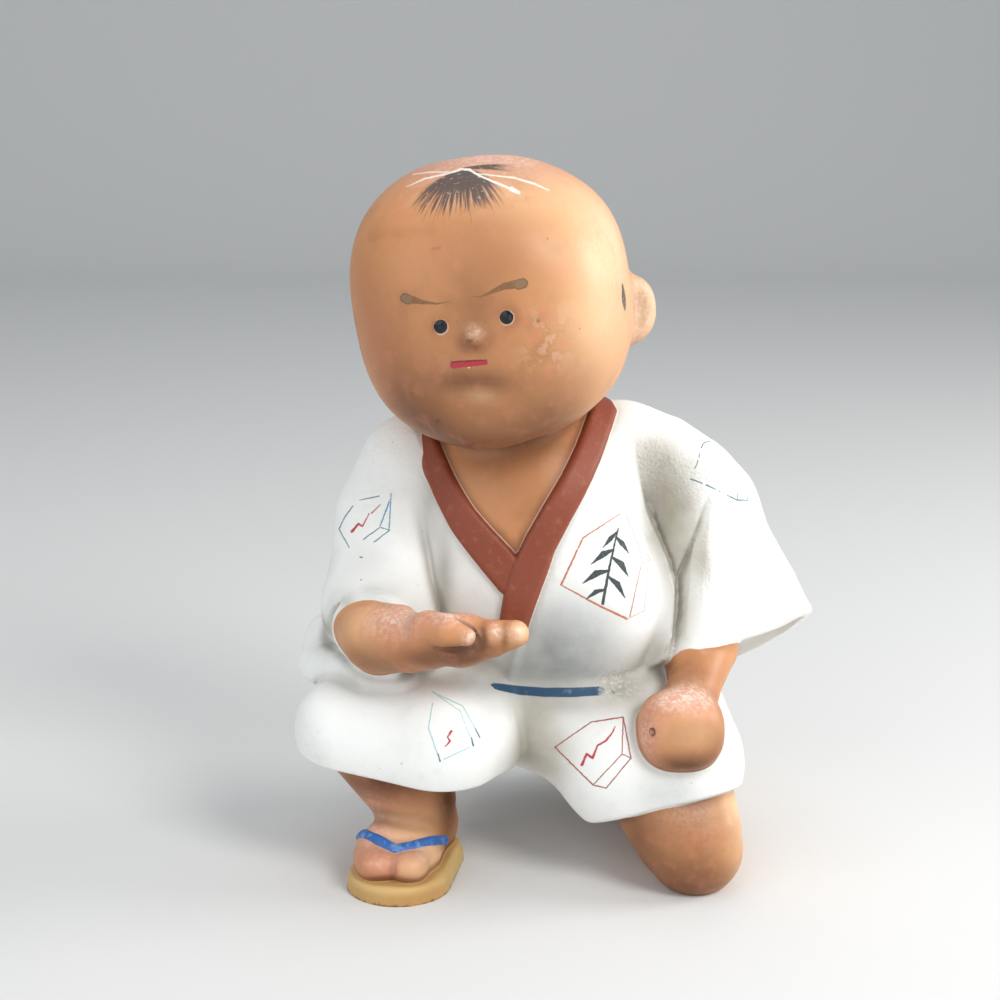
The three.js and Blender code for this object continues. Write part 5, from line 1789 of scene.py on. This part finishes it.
    def beside(self, where: Socket, start: Array, end: Array) -> tuple[Socket, Socket]:
        """Measures places from a straight stretch.

        With the stretch from a to b, t is the place less a, times b - a, over the square of b - a, kept from
        0 to 1, and the distance is the length of the place less a less t times b - a.

        Args:
            where: The places.
            start: The stretch's start.
            end: Its end.

        Returns:
            The share along the stretch and the distance from it.
        """
        along = end - start
        away = self.vector("SUBTRACT", where, tuple(start.tolist()))
        t = self.vector("DOT_PRODUCT", away, tuple((along / (along @ along)).tolist()))
        t = self.math("ADD", t, 0.0, clamp=True)
        return t, self.vector("LENGTH", self.vector("MULTIPLY_ADD", t, tuple((-along).tolist()), away))

    def nearest(self, work: Brushwork, where: Socket) -> Socket:
        """The distance from the edge of the nearest stroke, negative inside it.

        Args:
            work: The strokes.
            where: The places on the drawing plane.

        Returns:
            The least, over all straight stretches, of the distance less the half width there.
        """
        edges = []
        for start, end, first, last in work.stretches():
            t, off = self.beside(where, np.array([*start, 0.0]), np.array([*end, 0.0]))
            edges.append(self.math("SUBTRACT", off, self.math("MULTIPLY_ADD", t, last - first, first)))
        least = edges[0]
        for edge in edges[1:]:
            least = self.math("MINIMUM", least, edge)
        return least

    def draw(self, works: Sequence[Brushwork]) -> None:
        """Draws brushwork in its order, a little shaky, and thin where the brush ran dry.

        Args:
            works: The brushwork, the undermost first.
        """
        noise = self.node("ShaderNodeTexNoise", {0: self.where, 2: self.shake_scale, 3: 1.0})
        shake = (self.shake, self.shake, 0)
        where = self.vector("MULTIPLY_ADD", noise.outputs["Color"], shake, self.triple("drawing"))
        where = self.vector("SUBTRACT", where, (self.shake / 2, self.shake / 2, 0))
        dry = self.rise(self.noise(self.where, 0.7, 2, 0.7), 0.46, 0.3)
        for work in works:
            body = self.rise(self.nearest(work, where), work.soft, -work.soft)
            self.coat(work.paint, body, self.math("MULTIPLY_ADD", dry, -work.dry, 1.0))

    def finish(self) -> bpy.types.Material:
        """Joins the coats to the shader.

        Returns:
            The finished material.
        """
        bump = self.node("ShaderNodeBump", {0: 1.0, 1: MILLIMETRE})
        self.tree.links.new(self.height, bump.inputs["Height"])
        shader = self.node("ShaderNodeBsdfPrincipled", {})
        self.tree.links.new(self.shade, shader.inputs["Base Color"])
        self.tree.links.new(self.rough, shader.inputs["Roughness"])
        self.tree.links.new(bump.outputs[0], shader.inputs["Normal"])
        shader.inputs["Specular IOR Level"].default_value = self.specular
        output = self.node("ShaderNodeOutputMaterial", {})
        self.tree.links.new(shader.outputs[0], output.inputs[0])
        return self.material


# The brush marks, on the drawing plane in millimetres.

P = PALETTE
MARKS: dict[Zone, tuple[Brushwork, ...]] = {
    Zone.FACE: (
        # Painted shade under the nose, then specks.
        Brushwork(P.skin_dirt_and_shade, dry=0.3, soft=0.7, strokes=(
            (((-8.2, 41.2), (-7.6, 41.2)), (0.3,)),
            (((-16.3, 20.4), (-16.0, 20.4)), (0.22,)),
            (((9.8, 46.4), (9.9, 46.2)), (0.15,)),
        )),
        Brushwork(P.skin_rose, dry=0.2, soft=0.9, strokes=((((11.0, 49.0), (11.3, 48.8)), (0.5,)),)),
        Brushwork(P.outline_brown, dry=0.3, soft=0.5, strokes=(
            (((-17.2, 37.2), (-16.9, 36.4)), (0.25,)),
            (((-17.4, 65.0), (-15.6, 65.3)), (0.3,)),
        )),
        Brushwork(P.brow_line, dry=0.1, soft=0.12, strokes=(
            (((-24.6, 52.3), (-23.8, 51.9)), (1.28, 1.28)),
            (((4.8, 55.8), (5.9, 56.1)), (1.33, 1.33)),
        )),
        Brushwork(P.brow_thin, dry=0.35, soft=0.12, strokes=(
            (((-22.6, 51.8), (-19.7, 51.2), (-16.3, 50.8), (-13.0, 51.4)), (1.0, 0.5, 0.22, 0.04)),
            (
                ((3.6, 55.8), (1.3, 55.4),
                 (-1.8, 54.0), (-4.9, 52.6), (-7.8, 52.7)),
                (1.15, 0.9, 0.5, 0.18, 0.04),
            ),
        )),
        Brushwork(P.brow, dry=0.3, soft=0.12, strokes=(
            (((-24.6, 52.3), (-23.8, 51.9)), (1.05, 1.05)),
            (((4.8, 55.8), (5.9, 56.1)), (1.1, 1.1)),
        )),
        Brushwork(P.lip, dry=0.12, strokes=((((-12.1, 34.9), (-3.8, 35.6)), (0.9, 0.66)),)),
        Brushwork(P.lip_line, dry=0.1, strokes=(
            (((-12.6, 35.75), (-8.0, 36.05), (-3.6, 36.25)), (0.16, 0.2, 0.12)),
        )),
        Brushwork(P.skin_pale, dry=0.0, soft=0.14, strokes=((((-8.1, 34.25), (-7.9, 34.25)), (0.12,)),)),
        Brushwork(P.skin_rim, dry=0.6, soft=0.16, strokes=(
            (((-15.3, 44.6), (-15.3, 44.7)), (1.95,)),
            (((1.8, 47.0), (1.8, 47.1)), (1.95,)),
        )),
    ),
    Zone.CROWN: (
        Brushwork(P.cord, dry=0.45, soft=0.14, strokes=(
            (
                ((-24.1, 81.1), (-19.5, 83.2), (-14.0, 84.4),
                 (-9.8, 85.7), (-7.8, 85.5), (-5.2, 83.9), (2.3, 80.8)),
                (0.1, 0.22, 0.2, 0.3, 0.34, 0.28, 0.26),
            ),
            (((-22.5, 84.3), (-18.0, 84.9), (-13.0, 84.9)), (0.08, 0.16, 0.12)),
            (((-6.0, 84.5), (3.9, 83.4), (9.1, 81.8), (12.6, 80.2)), (0.14, 0.2, 0.26, 0.14)),
            (((3.0, 80.5), (4.9, 79.6)), (0.6, 0.36)),
        )),
    ),
    Zone.CHEST: (
        Brushwork(P.outline_brown, dry=0.3, strokes=(
            (((31.0, -3.6), (21.5, -9.8), (15.8, -22.0)), (0.14, 0.2, 0.28)),
            (((15.8, -22.0), (25.9, -27.5), (32.9, -30.8)), (0.16, 0.28, 0.3)),
            (((36.5, -17.1), (33.6, -30.2)), (0.1, 0.16)),
        )),
        Brushwork(P.outline_faint, dry=0.6, strokes=(
            (((32.6, -3.8), (36.3, -13.0)), (0.13, 0.13)),
            (((36.4, -13.6), (37.0, -16.3), (38.9, -15.5), (38.1, -14.0)), (0.12,)),
            (((38.3, -17.1), (37.3, -28.7), (32.9, -30.8)), (0.12, 0.15, 0.15)),
        )),
        Brushwork(P.ink, dry=0.1, strokes=(
            (((26.6, -26.8), (28.3, -17.5), (30.6, -7.4)), (0.42, 0.34, 0.2)),
            (((30.2, -8.4), (28.6, -10.0), (26.6, -12.4)), (0.26, 0.66, 0.1)),
            (((30.0, -9.6), (31.6, -11.2), (33.4, -13.8)), (0.28, 0.7, 0.1)),
            (((29.4, -12.8), (26.8, -14.0), (23.6, -16.6)), (0.28, 0.84, 0.1)),
            (((29.0, -14.8), (31.4, -16.6), (33.2, -19.8)), (0.28, 0.86, 0.12)),
            (((28.3, -18.2), (25.0, -19.0), (21.4, -21.6)), (0.28, 0.9, 0.1)),
            (((28.0, -19.8), (30.4, -21.8), (32.4, -25.4)), (0.28, 0.84, 0.12)),
            (((27.2, -23.2), (24.8, -23.8), (22.4, -25.6)), (0.26, 0.64, 0.1)),
        )),
    ),
    Zone.RIGHT_SLEEVE: (
        Brushwork(P.outline_grey, dry=0.5, strokes=(
            (((-36.3, 0.0), (-31.3, 1.0)), (0.13, 0.17)),
            (((-38.1, -1.6), (-40.2, -4.4), (-41.7, -7.5), (-39.1, -12.2)), (0.16,)),
        )),
        Brushwork(P.outline_blue, dry=0.6, strokes=(
            (((-28.2, 1.6), (-28.7, -7.3)), (0.14, 0.18)),
            (((-28.5, 0.0), (-31.1, -7.0)), (0.2, 0.16)),
        )),
        Brushwork(P.outline_teal, dry=0.4, strokes=(
            (((-35.4, -10.2), (-31.1, -7.1), (-28.5, -7.8), (-32.6, -10.9)), (0.14,)),
            (((-36.2, -14.8), (-35.7, -14.9)), (0.2,)),
            (((-36.1, -20.7), (-35.9, -20.7)), (0.12,)),
        )),
        Brushwork(P.mark_red, dry=0.35, soft=0.12, strokes=(
            (((-38.4, -8.2), (-36.6, -6.2), (-35.6, -6.8), (-33.9, -3.6)), (0.34, 0.3, 0.2, 0.16)),
            (((-33.2, -3.4), (-31.0, -1.2)), (0.18, 0.14)),
        )),
    ),
    Zone.LEFT_SLEEVE: (
        Brushwork(P.outline_teal, dry=0.4, strokes=(
            (((52.1, 13.6), (52.8, 14.8), (54.4, 15.3)), (0.2, 0.14, 0.1)),
            (((49.5, 5.4), (52.3, 4.4)), (0.2, 0.15)),
            (((53.4, 3.9), (55.8, 2.8)), (0.2, 0.14)),
            (((56.7, 2.3), (57.0, 2.1)), (0.12,)),
            (((58.8, 1.3), (61.2, 0.0), (64.0, -0.1)), (0.14, 0.2, 0.12)),
        )),
        Brushwork(P.outline_grey, dry=0.3, strokes=(
            (((51.8, 11.9), (51.5, 11.0)), (0.15,)),
            (((51.3, 10.2), (50.5, 8.3)), (0.15,)),
            (((61.4, 0.0), (61.6, 2.3)), (0.11,)),
            (((64.0, -0.1), (64.2, 1.3)), (0.11,)),
        )),
    ),
    Zone.RIGHT_LAP: (
        Brushwork(P.outline_pale, dry=0.4, strokes=(
            (((-17.6, -49.7), (-9.6, -53.4), (-6.4, -59.2)), (0.16, 0.15, 0.16)),
            (((-16.3, -50.5), (-10.4, -54.6), (-7.4, -62.0)), (0.13,)),
            (((-17.5, -52.6), (-18.5, -59.1), (-16.0, -66.2)), (0.15,)),
            (((-14.5, -67.1), (-7.8, -64.0)), (0.13,)),
        )),
        Brushwork(P.outline_teal, dry=0.3, strokes=(
            (((-6.4, -59.2), (-5.3, -61.4)), (0.16, 0.24)),
            (((-7.4, -61.6), (-6.9, -63.6)), (0.18, 0.28)),
            (((-16.1, -65.8), (-15.5, -67.6)), (0.15, 0.22)),
        )),
        Brushwork(P.mark_red, dry=0.35, soft=0.12, strokes=(
            (((-12.6, -59.9), (-13.6, -61.4), (-12.9, -62.4), (-14.2, -63.8)), (0.34, 0.2, 0.28, 0.16)),
        )),
    ),
    Zone.LEFT_LAP: (
        Brushwork(P.outline_red, dry=0.25, strokes=(
            (((14.2, -64.0), (23.6, -57.5), (31.9, -56.2)), (0.17, 0.17, 0.2)),
            (((31.9, -56.2), (33.9, -66.8), (27.5, -74.6), (24.1, -73.8)), (0.17,)),
            (((24.1, -73.8), (14.2, -64.0)), (0.19,)),
            (((31.9, -56.2), (31.6, -65.8), (24.1, -73.8)), (0.15,)),
            (((31.6, -65.8), (33.9, -66.8)), (0.15,)),
        )),
        Brushwork(P.mark_red, dry=0.25, strokes=(
            (
                ((21.2, -68.6), (22.4, -65.8), (24.0, -66.8),
                 (25.2, -63.6), (27.6, -62.2), (29.2, -60.0), (29.8, -58.6)),
                (0.36, 0.3, 0.36, 0.24, 0.28, 0.22, 0.14),
            ),
        )),
    ),
}
# The eyes: their middles on the drawing plane, their radius, and half the width of their soft edge.
EYES = ((-15.4, 44.9), (1.7, 47.3))
EYE_RADIUS = 1.8
EYE_EDGE = 0.1


@dataclass(frozen=True)
class Lock:
    """The lock of hair before the left ear, in mm. Half its width at t is width (end - t) (start + t)."""

    top: Triple = (16.3, -24.2, 150.2)
    low: Triple = (17.1, -24.6, 144.8)
    width: float = 5.2
    start: float = 0.25
    end: float = 1.1


@dataclass(frozen=True)
class Fan:
    """A tuft on the unrolled crown, in mm and radians.

    It fans out from an apex by the knot, in the direction of its turn, and its half angle narrows with every
    mm. Its hairs begin at the first reach, dense there, and have thinned out at its length.
    """

    paint: Paint
    apex: tuple[float, float]
    turn: float
    half: float
    narrowing: float
    length: float
    first: float
    dense: float


FANS = (
    Fan(PALETTE.hair, (0.2, 1.6), -math.pi / 2, 0.86, 0.014, length=20.4, first=1.6, dense=1.7),
    Fan(PALETTE.hair_back, (-3.0, 1.0), 0.08, 0.31, 0.006, length=16.0, first=2.6, dense=1.6),
)


class Finishes:
    """Makes the doll's materials, one for each zone."""

    def __init__(self, doll: Doll) -> None:
        """Keeps the doll.

        Args:
            doll: The doll that the finishes are for.
        """
        self.doll = doll
        self.lock = Lock()

    def eyes(self, made: Coating) -> None:
        """Two domed drops of black enamel.

        Args:
            made: The finish that they are painted on.
        """
        for x, y in EYES:
            away = made.vector("LENGTH", made.vector("SUBTRACT", made.triple("drawing"), (x, y, 0)))
            drop = made.rise(away, EYE_RADIUS + EYE_EDGE, EYE_RADIUS - EYE_EDGE)
            made.coat(PALETTE.eye, drop)
            made.coat(PALETTE.eye_worn, drop, made.rise(made.grain, 0.5, 0.68), 0.35)

    def tuft(self, made: Coating, x: Socket, y: Socket, fan: Fan) -> None:
        """One tuft of hair: streaks that fan out from its apex and thin out towards their ends.

        Args:
            made: The finish that it is painted on.
            x: The unrolled crown's first number.
            y: Its second number.
            fan: The tuft.
        """
        dx = made.math("SUBTRACT", x, fan.apex[0])
        dy = made.math("SUBTRACT", y, fan.apex[1])
        c, s = math.cos(fan.turn), math.sin(fan.turn)
        along = made.math("ADD", made.times(dx, c), made.times(dy, s))
        across = made.math("SUBTRACT", made.times(dy, c), made.times(dx, s))
        angle = made.math("ARCTAN2", across, along)
        square = made.math("ADD", made.times(dx, dx), made.times(dy, dy))
        reach = made.math("SQRT", square)
        strand = made.node("ShaderNodeCombineXYZ", {0: made.times(angle, 34.0), 1: made.times(reach, 0.1)})
        streak = made.node("ShaderNodeTexNoise", {0: strand.outputs[0], 2: 1.0, 3: 2.0, 4: 0.6})
        bent = made.node("ShaderNodeCombineXYZ", {0: made.times(angle, 9.0), 1: 3.0})
        uneven = made.node("ShaderNodeTexNoise", {0: bent.outputs[0], 2: 1.0, 3: 2.0})
        thinning = (fan.dense - 0.1) / (fan.length - fan.first)
        spent = made.times(made.math("SUBTRACT", reach, fan.first), thinning)
        density = made.math("SUBTRACT", fan.dense, spent)
        density = made.math("ADD", density, made.math("MULTIPLY_ADD", streak.outputs[0], 2.0, -1.0))
        density = made.math("ADD", density, made.math("MULTIPLY_ADD", uneven.outputs[0], 0.6, -0.3))
        hairs = made.rise(density, 0.2, 0.75)
        spread = made.math("MULTIPLY_ADD", reach, fan.narrowing, made.math("ABSOLUTE", angle))
        window = made.rise(spread, fan.half + 0.07, fan.half - 0.07)
        start = made.rise(reach, fan.first - 0.6, fan.first + 0.4)
        window = made.times(window, start, made.rise(along, 0.0, 0.5))
        made.coat(fan.paint, hairs, window, 0.92)
        made.coat(PALETTE.skin_pale, made.rise(made.grain, 0.6, 0.66), window, 0.3, hairs)

    def hair(self, made: Coating) -> None:
        """The fringe and the back tuft, and the locks before the ears.

        Args:
            made: The finish that it is painted on.
        """
        x, y, _ = made.node("ShaderNodeSeparateXYZ", {0: made.triple("crown")}).outputs
        for fan in FANS:
            self.tuft(made, x, y, fan)
        lock = self.lock
        left = (lock.top, lock.low)
        for ends in (left, [self.doll.head.mirrored(place) for place in left]):
            top, low = (np.array(ends) - SOLID_MIDDLE) * MILLIMETRE
            t, off = made.beside(made.where, top, low)
            width = made.times(made.math("SUBTRACT", lock.end, t), made.math("ADD", t, lock.start))
            edge = made.math("SUBTRACT", off, made.times(width, lock.width * MILLIMETRE))
            body = made.rise(edge, 0.2 * MILLIMETRE, -0.4 * MILLIMETRE)
            made.coat(PALETTE.hair, body, made.rise(made.noise(made.where, 0.8, 2), 0.2, 0.45), 0.92)

    def material(self, zone: Zone) -> bpy.types.Material:
        """One zone's material.

        Args:
            zone: The zone.

        Returns:
            The finished material.
        """
        made = Coating("paint_" + zone.name.lower())
        if zone is Zone.TRIM:
            made.trims()
        elif zone in (Zone.SKIN, Zone.FACE, Zone.CROWN):
            made.skin()
        else:
            made.cloth()
        if zone is Zone.CROWN:
            self.hair(made)
        if zone in MARKS:
            made.draw(MARKS[zone])
        if zone is Zone.FACE:
            self.eyes(made)
        return made.finish()


@dataclass
class Figure:
    """The finished piece: the doll's surface as a mesh, with its paint."""

    doll: Doll
    name: str = "doll"

    def marks(self, p: Array) -> Array:
        """Which painted part each place lies on, so that the mesh is fine along their edges.

        Args:
            p: Rows of places in millimetres.

        Returns:
            For each place whether it is on cloth, collar, strap and sandal.
        """
        d = self.doll.parts(p)
        open_surface = np.minimum(d["cloth"], d["bare"])
        strap = d["strap"] < np.minimum(d["foot"], d["sandals"])
        sandal = d["sandals"] < d["bare"]
        return np.stack([d["cloth"] < d["bare"], d["collar"] < open_surface, strap, sandal], -1)

    def build(self) -> bpy.types.Object:
        """Builds and dresses the piece.

        Returns:
            The piece, in the scene.
        """
        surface = Surface(self.doll.figure)
        surface.build(self.marks)
        p, normal = surface.places, surface.slopes()
        normal[p[:, 2] <= 0] = (0, 0, -1)
        painted = Paintwork(self.doll)
        fields = painted.fields(p, normal)
        zones = painted.zones(fields, p, normal, surface.triangles)
        # Only the zones needed it.
        del fields["head_gap"]
        mesh = bpy.data.meshes.new(self.name)
        mesh.from_pydata((p - SOLID_MIDDLE) * MILLIMETRE, [], surface.triangles)
        finishes = Finishes(self.doll)
        for zone in Zone:
            mesh.materials.append(finishes.material(zone))
        mesh.polygons.foreach_set("material_index", zones.astype(np.int32))
        mesh.polygons.foreach_set("use_smooth", np.ones(len(mesh.polygons), bool))
        for name, values in fields.items():
            kind, part = ("FLOAT", "value") if values.ndim == 1 else ("FLOAT_VECTOR", "vector")
            held = mesh.attributes.new(name, kind, "POINT")
            held.data.foreach_set(part, values.astype(np.float32).ravel())
        mesh.normals_split_custom_set_from_vertices(normal)
        piece = bpy.data.objects.new(self.name, mesh)
        bpy.context.scene.collection.objects.link(piece)
        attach(piece, "root")
        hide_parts("figure")
        for zone in Zone:
            log.info("zone %s: %d triangles", zone.name.lower(), int((zones == zone.value).sum()))
        return piece


@dataclass
class Lamp:
    """A square soft light."""

    name: str
    place: Triple
    size: float
    energy: float
    tint: Triple = (1.0, 1.0, 1.0)

    def build(self, target: Vector) -> None:
        """Hangs the light, turned to its target.

        Args:
            target: The place that it shines on.
        """
        data = bpy.data.lights.new(self.name, "AREA")
        data.energy = self.energy
        data.size = self.size
        data.color = self.tint
        lamp = bpy.data.objects.new(self.name, data)
        lamp.location = self.place
        lamp.rotation_euler = (target - lamp.location).to_track_quat("-Z", "Y").to_euler()
        bpy.context.scene.collection.objects.link(lamp)


@dataclass
class Studio:
    """The plain floor, the soft light and the camera at the photograph's angle. Sizes are in metres."""

    floor_half: float = 1.6
    backdrop: float = 1.1
    sweep: float = 0.5
    lens: float = 72.3
    lit_height: float = 0.09
    room_light: float = 0.42
    painter: Painter = field(default_factory=Painter)
    lamps: Sequence[Lamp] = (
        Lamp("key", (0.42, -0.5, 0.62), 0.3, 3.8, (1.0, 0.985, 0.96)),
        Lamp("side", (0.75, 0.06, 0.36), 0.35, 3.6, (1.0, 0.99, 0.97)),
        Lamp("fill", (-0.6, -0.72, 0.4), 1.05, 4.0, (0.97, 0.985, 1.0)),
        Lamp("top", (-0.05, 0.1, 0.95), 0.7, 1.8),
    )

    def floor(self) -> None:
        """A floor that sweeps up into a backdrop: a line, a quarter circle and a line, drawn wide."""
        turn = np.linspace(0, math.pi / 2, 24)
        y = self.backdrop + self.sweep * np.sin(turn)
        z = self.sweep * (1 - np.cos(turn))
        y = np.concatenate([[-self.floor_half], y, [y[-1]]])
        z = np.concatenate([[0.0], z, [z[-1] + self.floor_half]])
        x = np.array([-self.floor_half, self.floor_half])
        places = np.stack([np.tile(x, len(y)), np.repeat(y, 2), np.repeat(z, 2)], -1)
        row = 2 * np.arange(len(y) - 1)
        quads = np.stack([row, row + 1, row + 3, row + 2], -1)
        mesh = bpy.data.meshes.new("floor")
        mesh.from_pydata(places, [], quads)
        mesh.polygons.foreach_set("use_smooth", np.ones(len(mesh.polygons), bool))
        plain = bpy.data.materials.new("pale_floor")
        plain.use_nodes = True
        shader = plain.node_tree.nodes["Principled BSDF"]
        shader.inputs["Base Color"].default_value = colour(222, 222, 221)
        shader.inputs["Roughness"].default_value = 0.9
        mesh.materials.append(plain)
        floor = bpy.data.objects.new("floor", mesh)
        bpy.context.scene.collection.objects.link(floor)

    def camera(self) -> None:
        """The camera, where the painter's eye is."""
        data = bpy.data.cameras.new("camera")
        data.lens = self.lens
        camera = bpy.data.objects.new("camera", data)
        camera.location = Vector((self.painter.eye() - SOLID_MIDDLE) * MILLIMETRE)
        camera.rotation_euler = (math.pi / 2 - self.painter.lift, 0, 0)
        bpy.context.scene.collection.objects.link(camera)
        bpy.context.scene.camera = camera

    def build(self) -> None:
        """Builds the floor, the lights, the room's own light and the camera."""
        self.floor()
        for lamp in self.lamps:
            lamp.build(Vector((0, 0, self.lit_height)))
        world = bpy.data.worlds.new("room")
        world.use_nodes = True
        back = world.node_tree.nodes["Background"]
        back.inputs["Color"].default_value = (0.9, 0.95, 1.0, 1.0)
        back.inputs["Strength"].default_value = self.room_light
        bpy.context.scene.world = world
        bpy.context.scene.view_settings.view_transform = "Standard"
        self.camera()


def main() -> None:
    """Builds the doll and its studio."""
    logging.basicConfig(level=logging.INFO, format="%(message)s")
    piece = Figure(Doll()).build()
    log.info("%s: %d triangles", piece.name, len(piece.data.polygons))
    studio = Studio()
    studio.build()
    log.info("studio: floor, %d lamps and camera", len(studio.lamps))


if __name__ == "__main__":
    main()
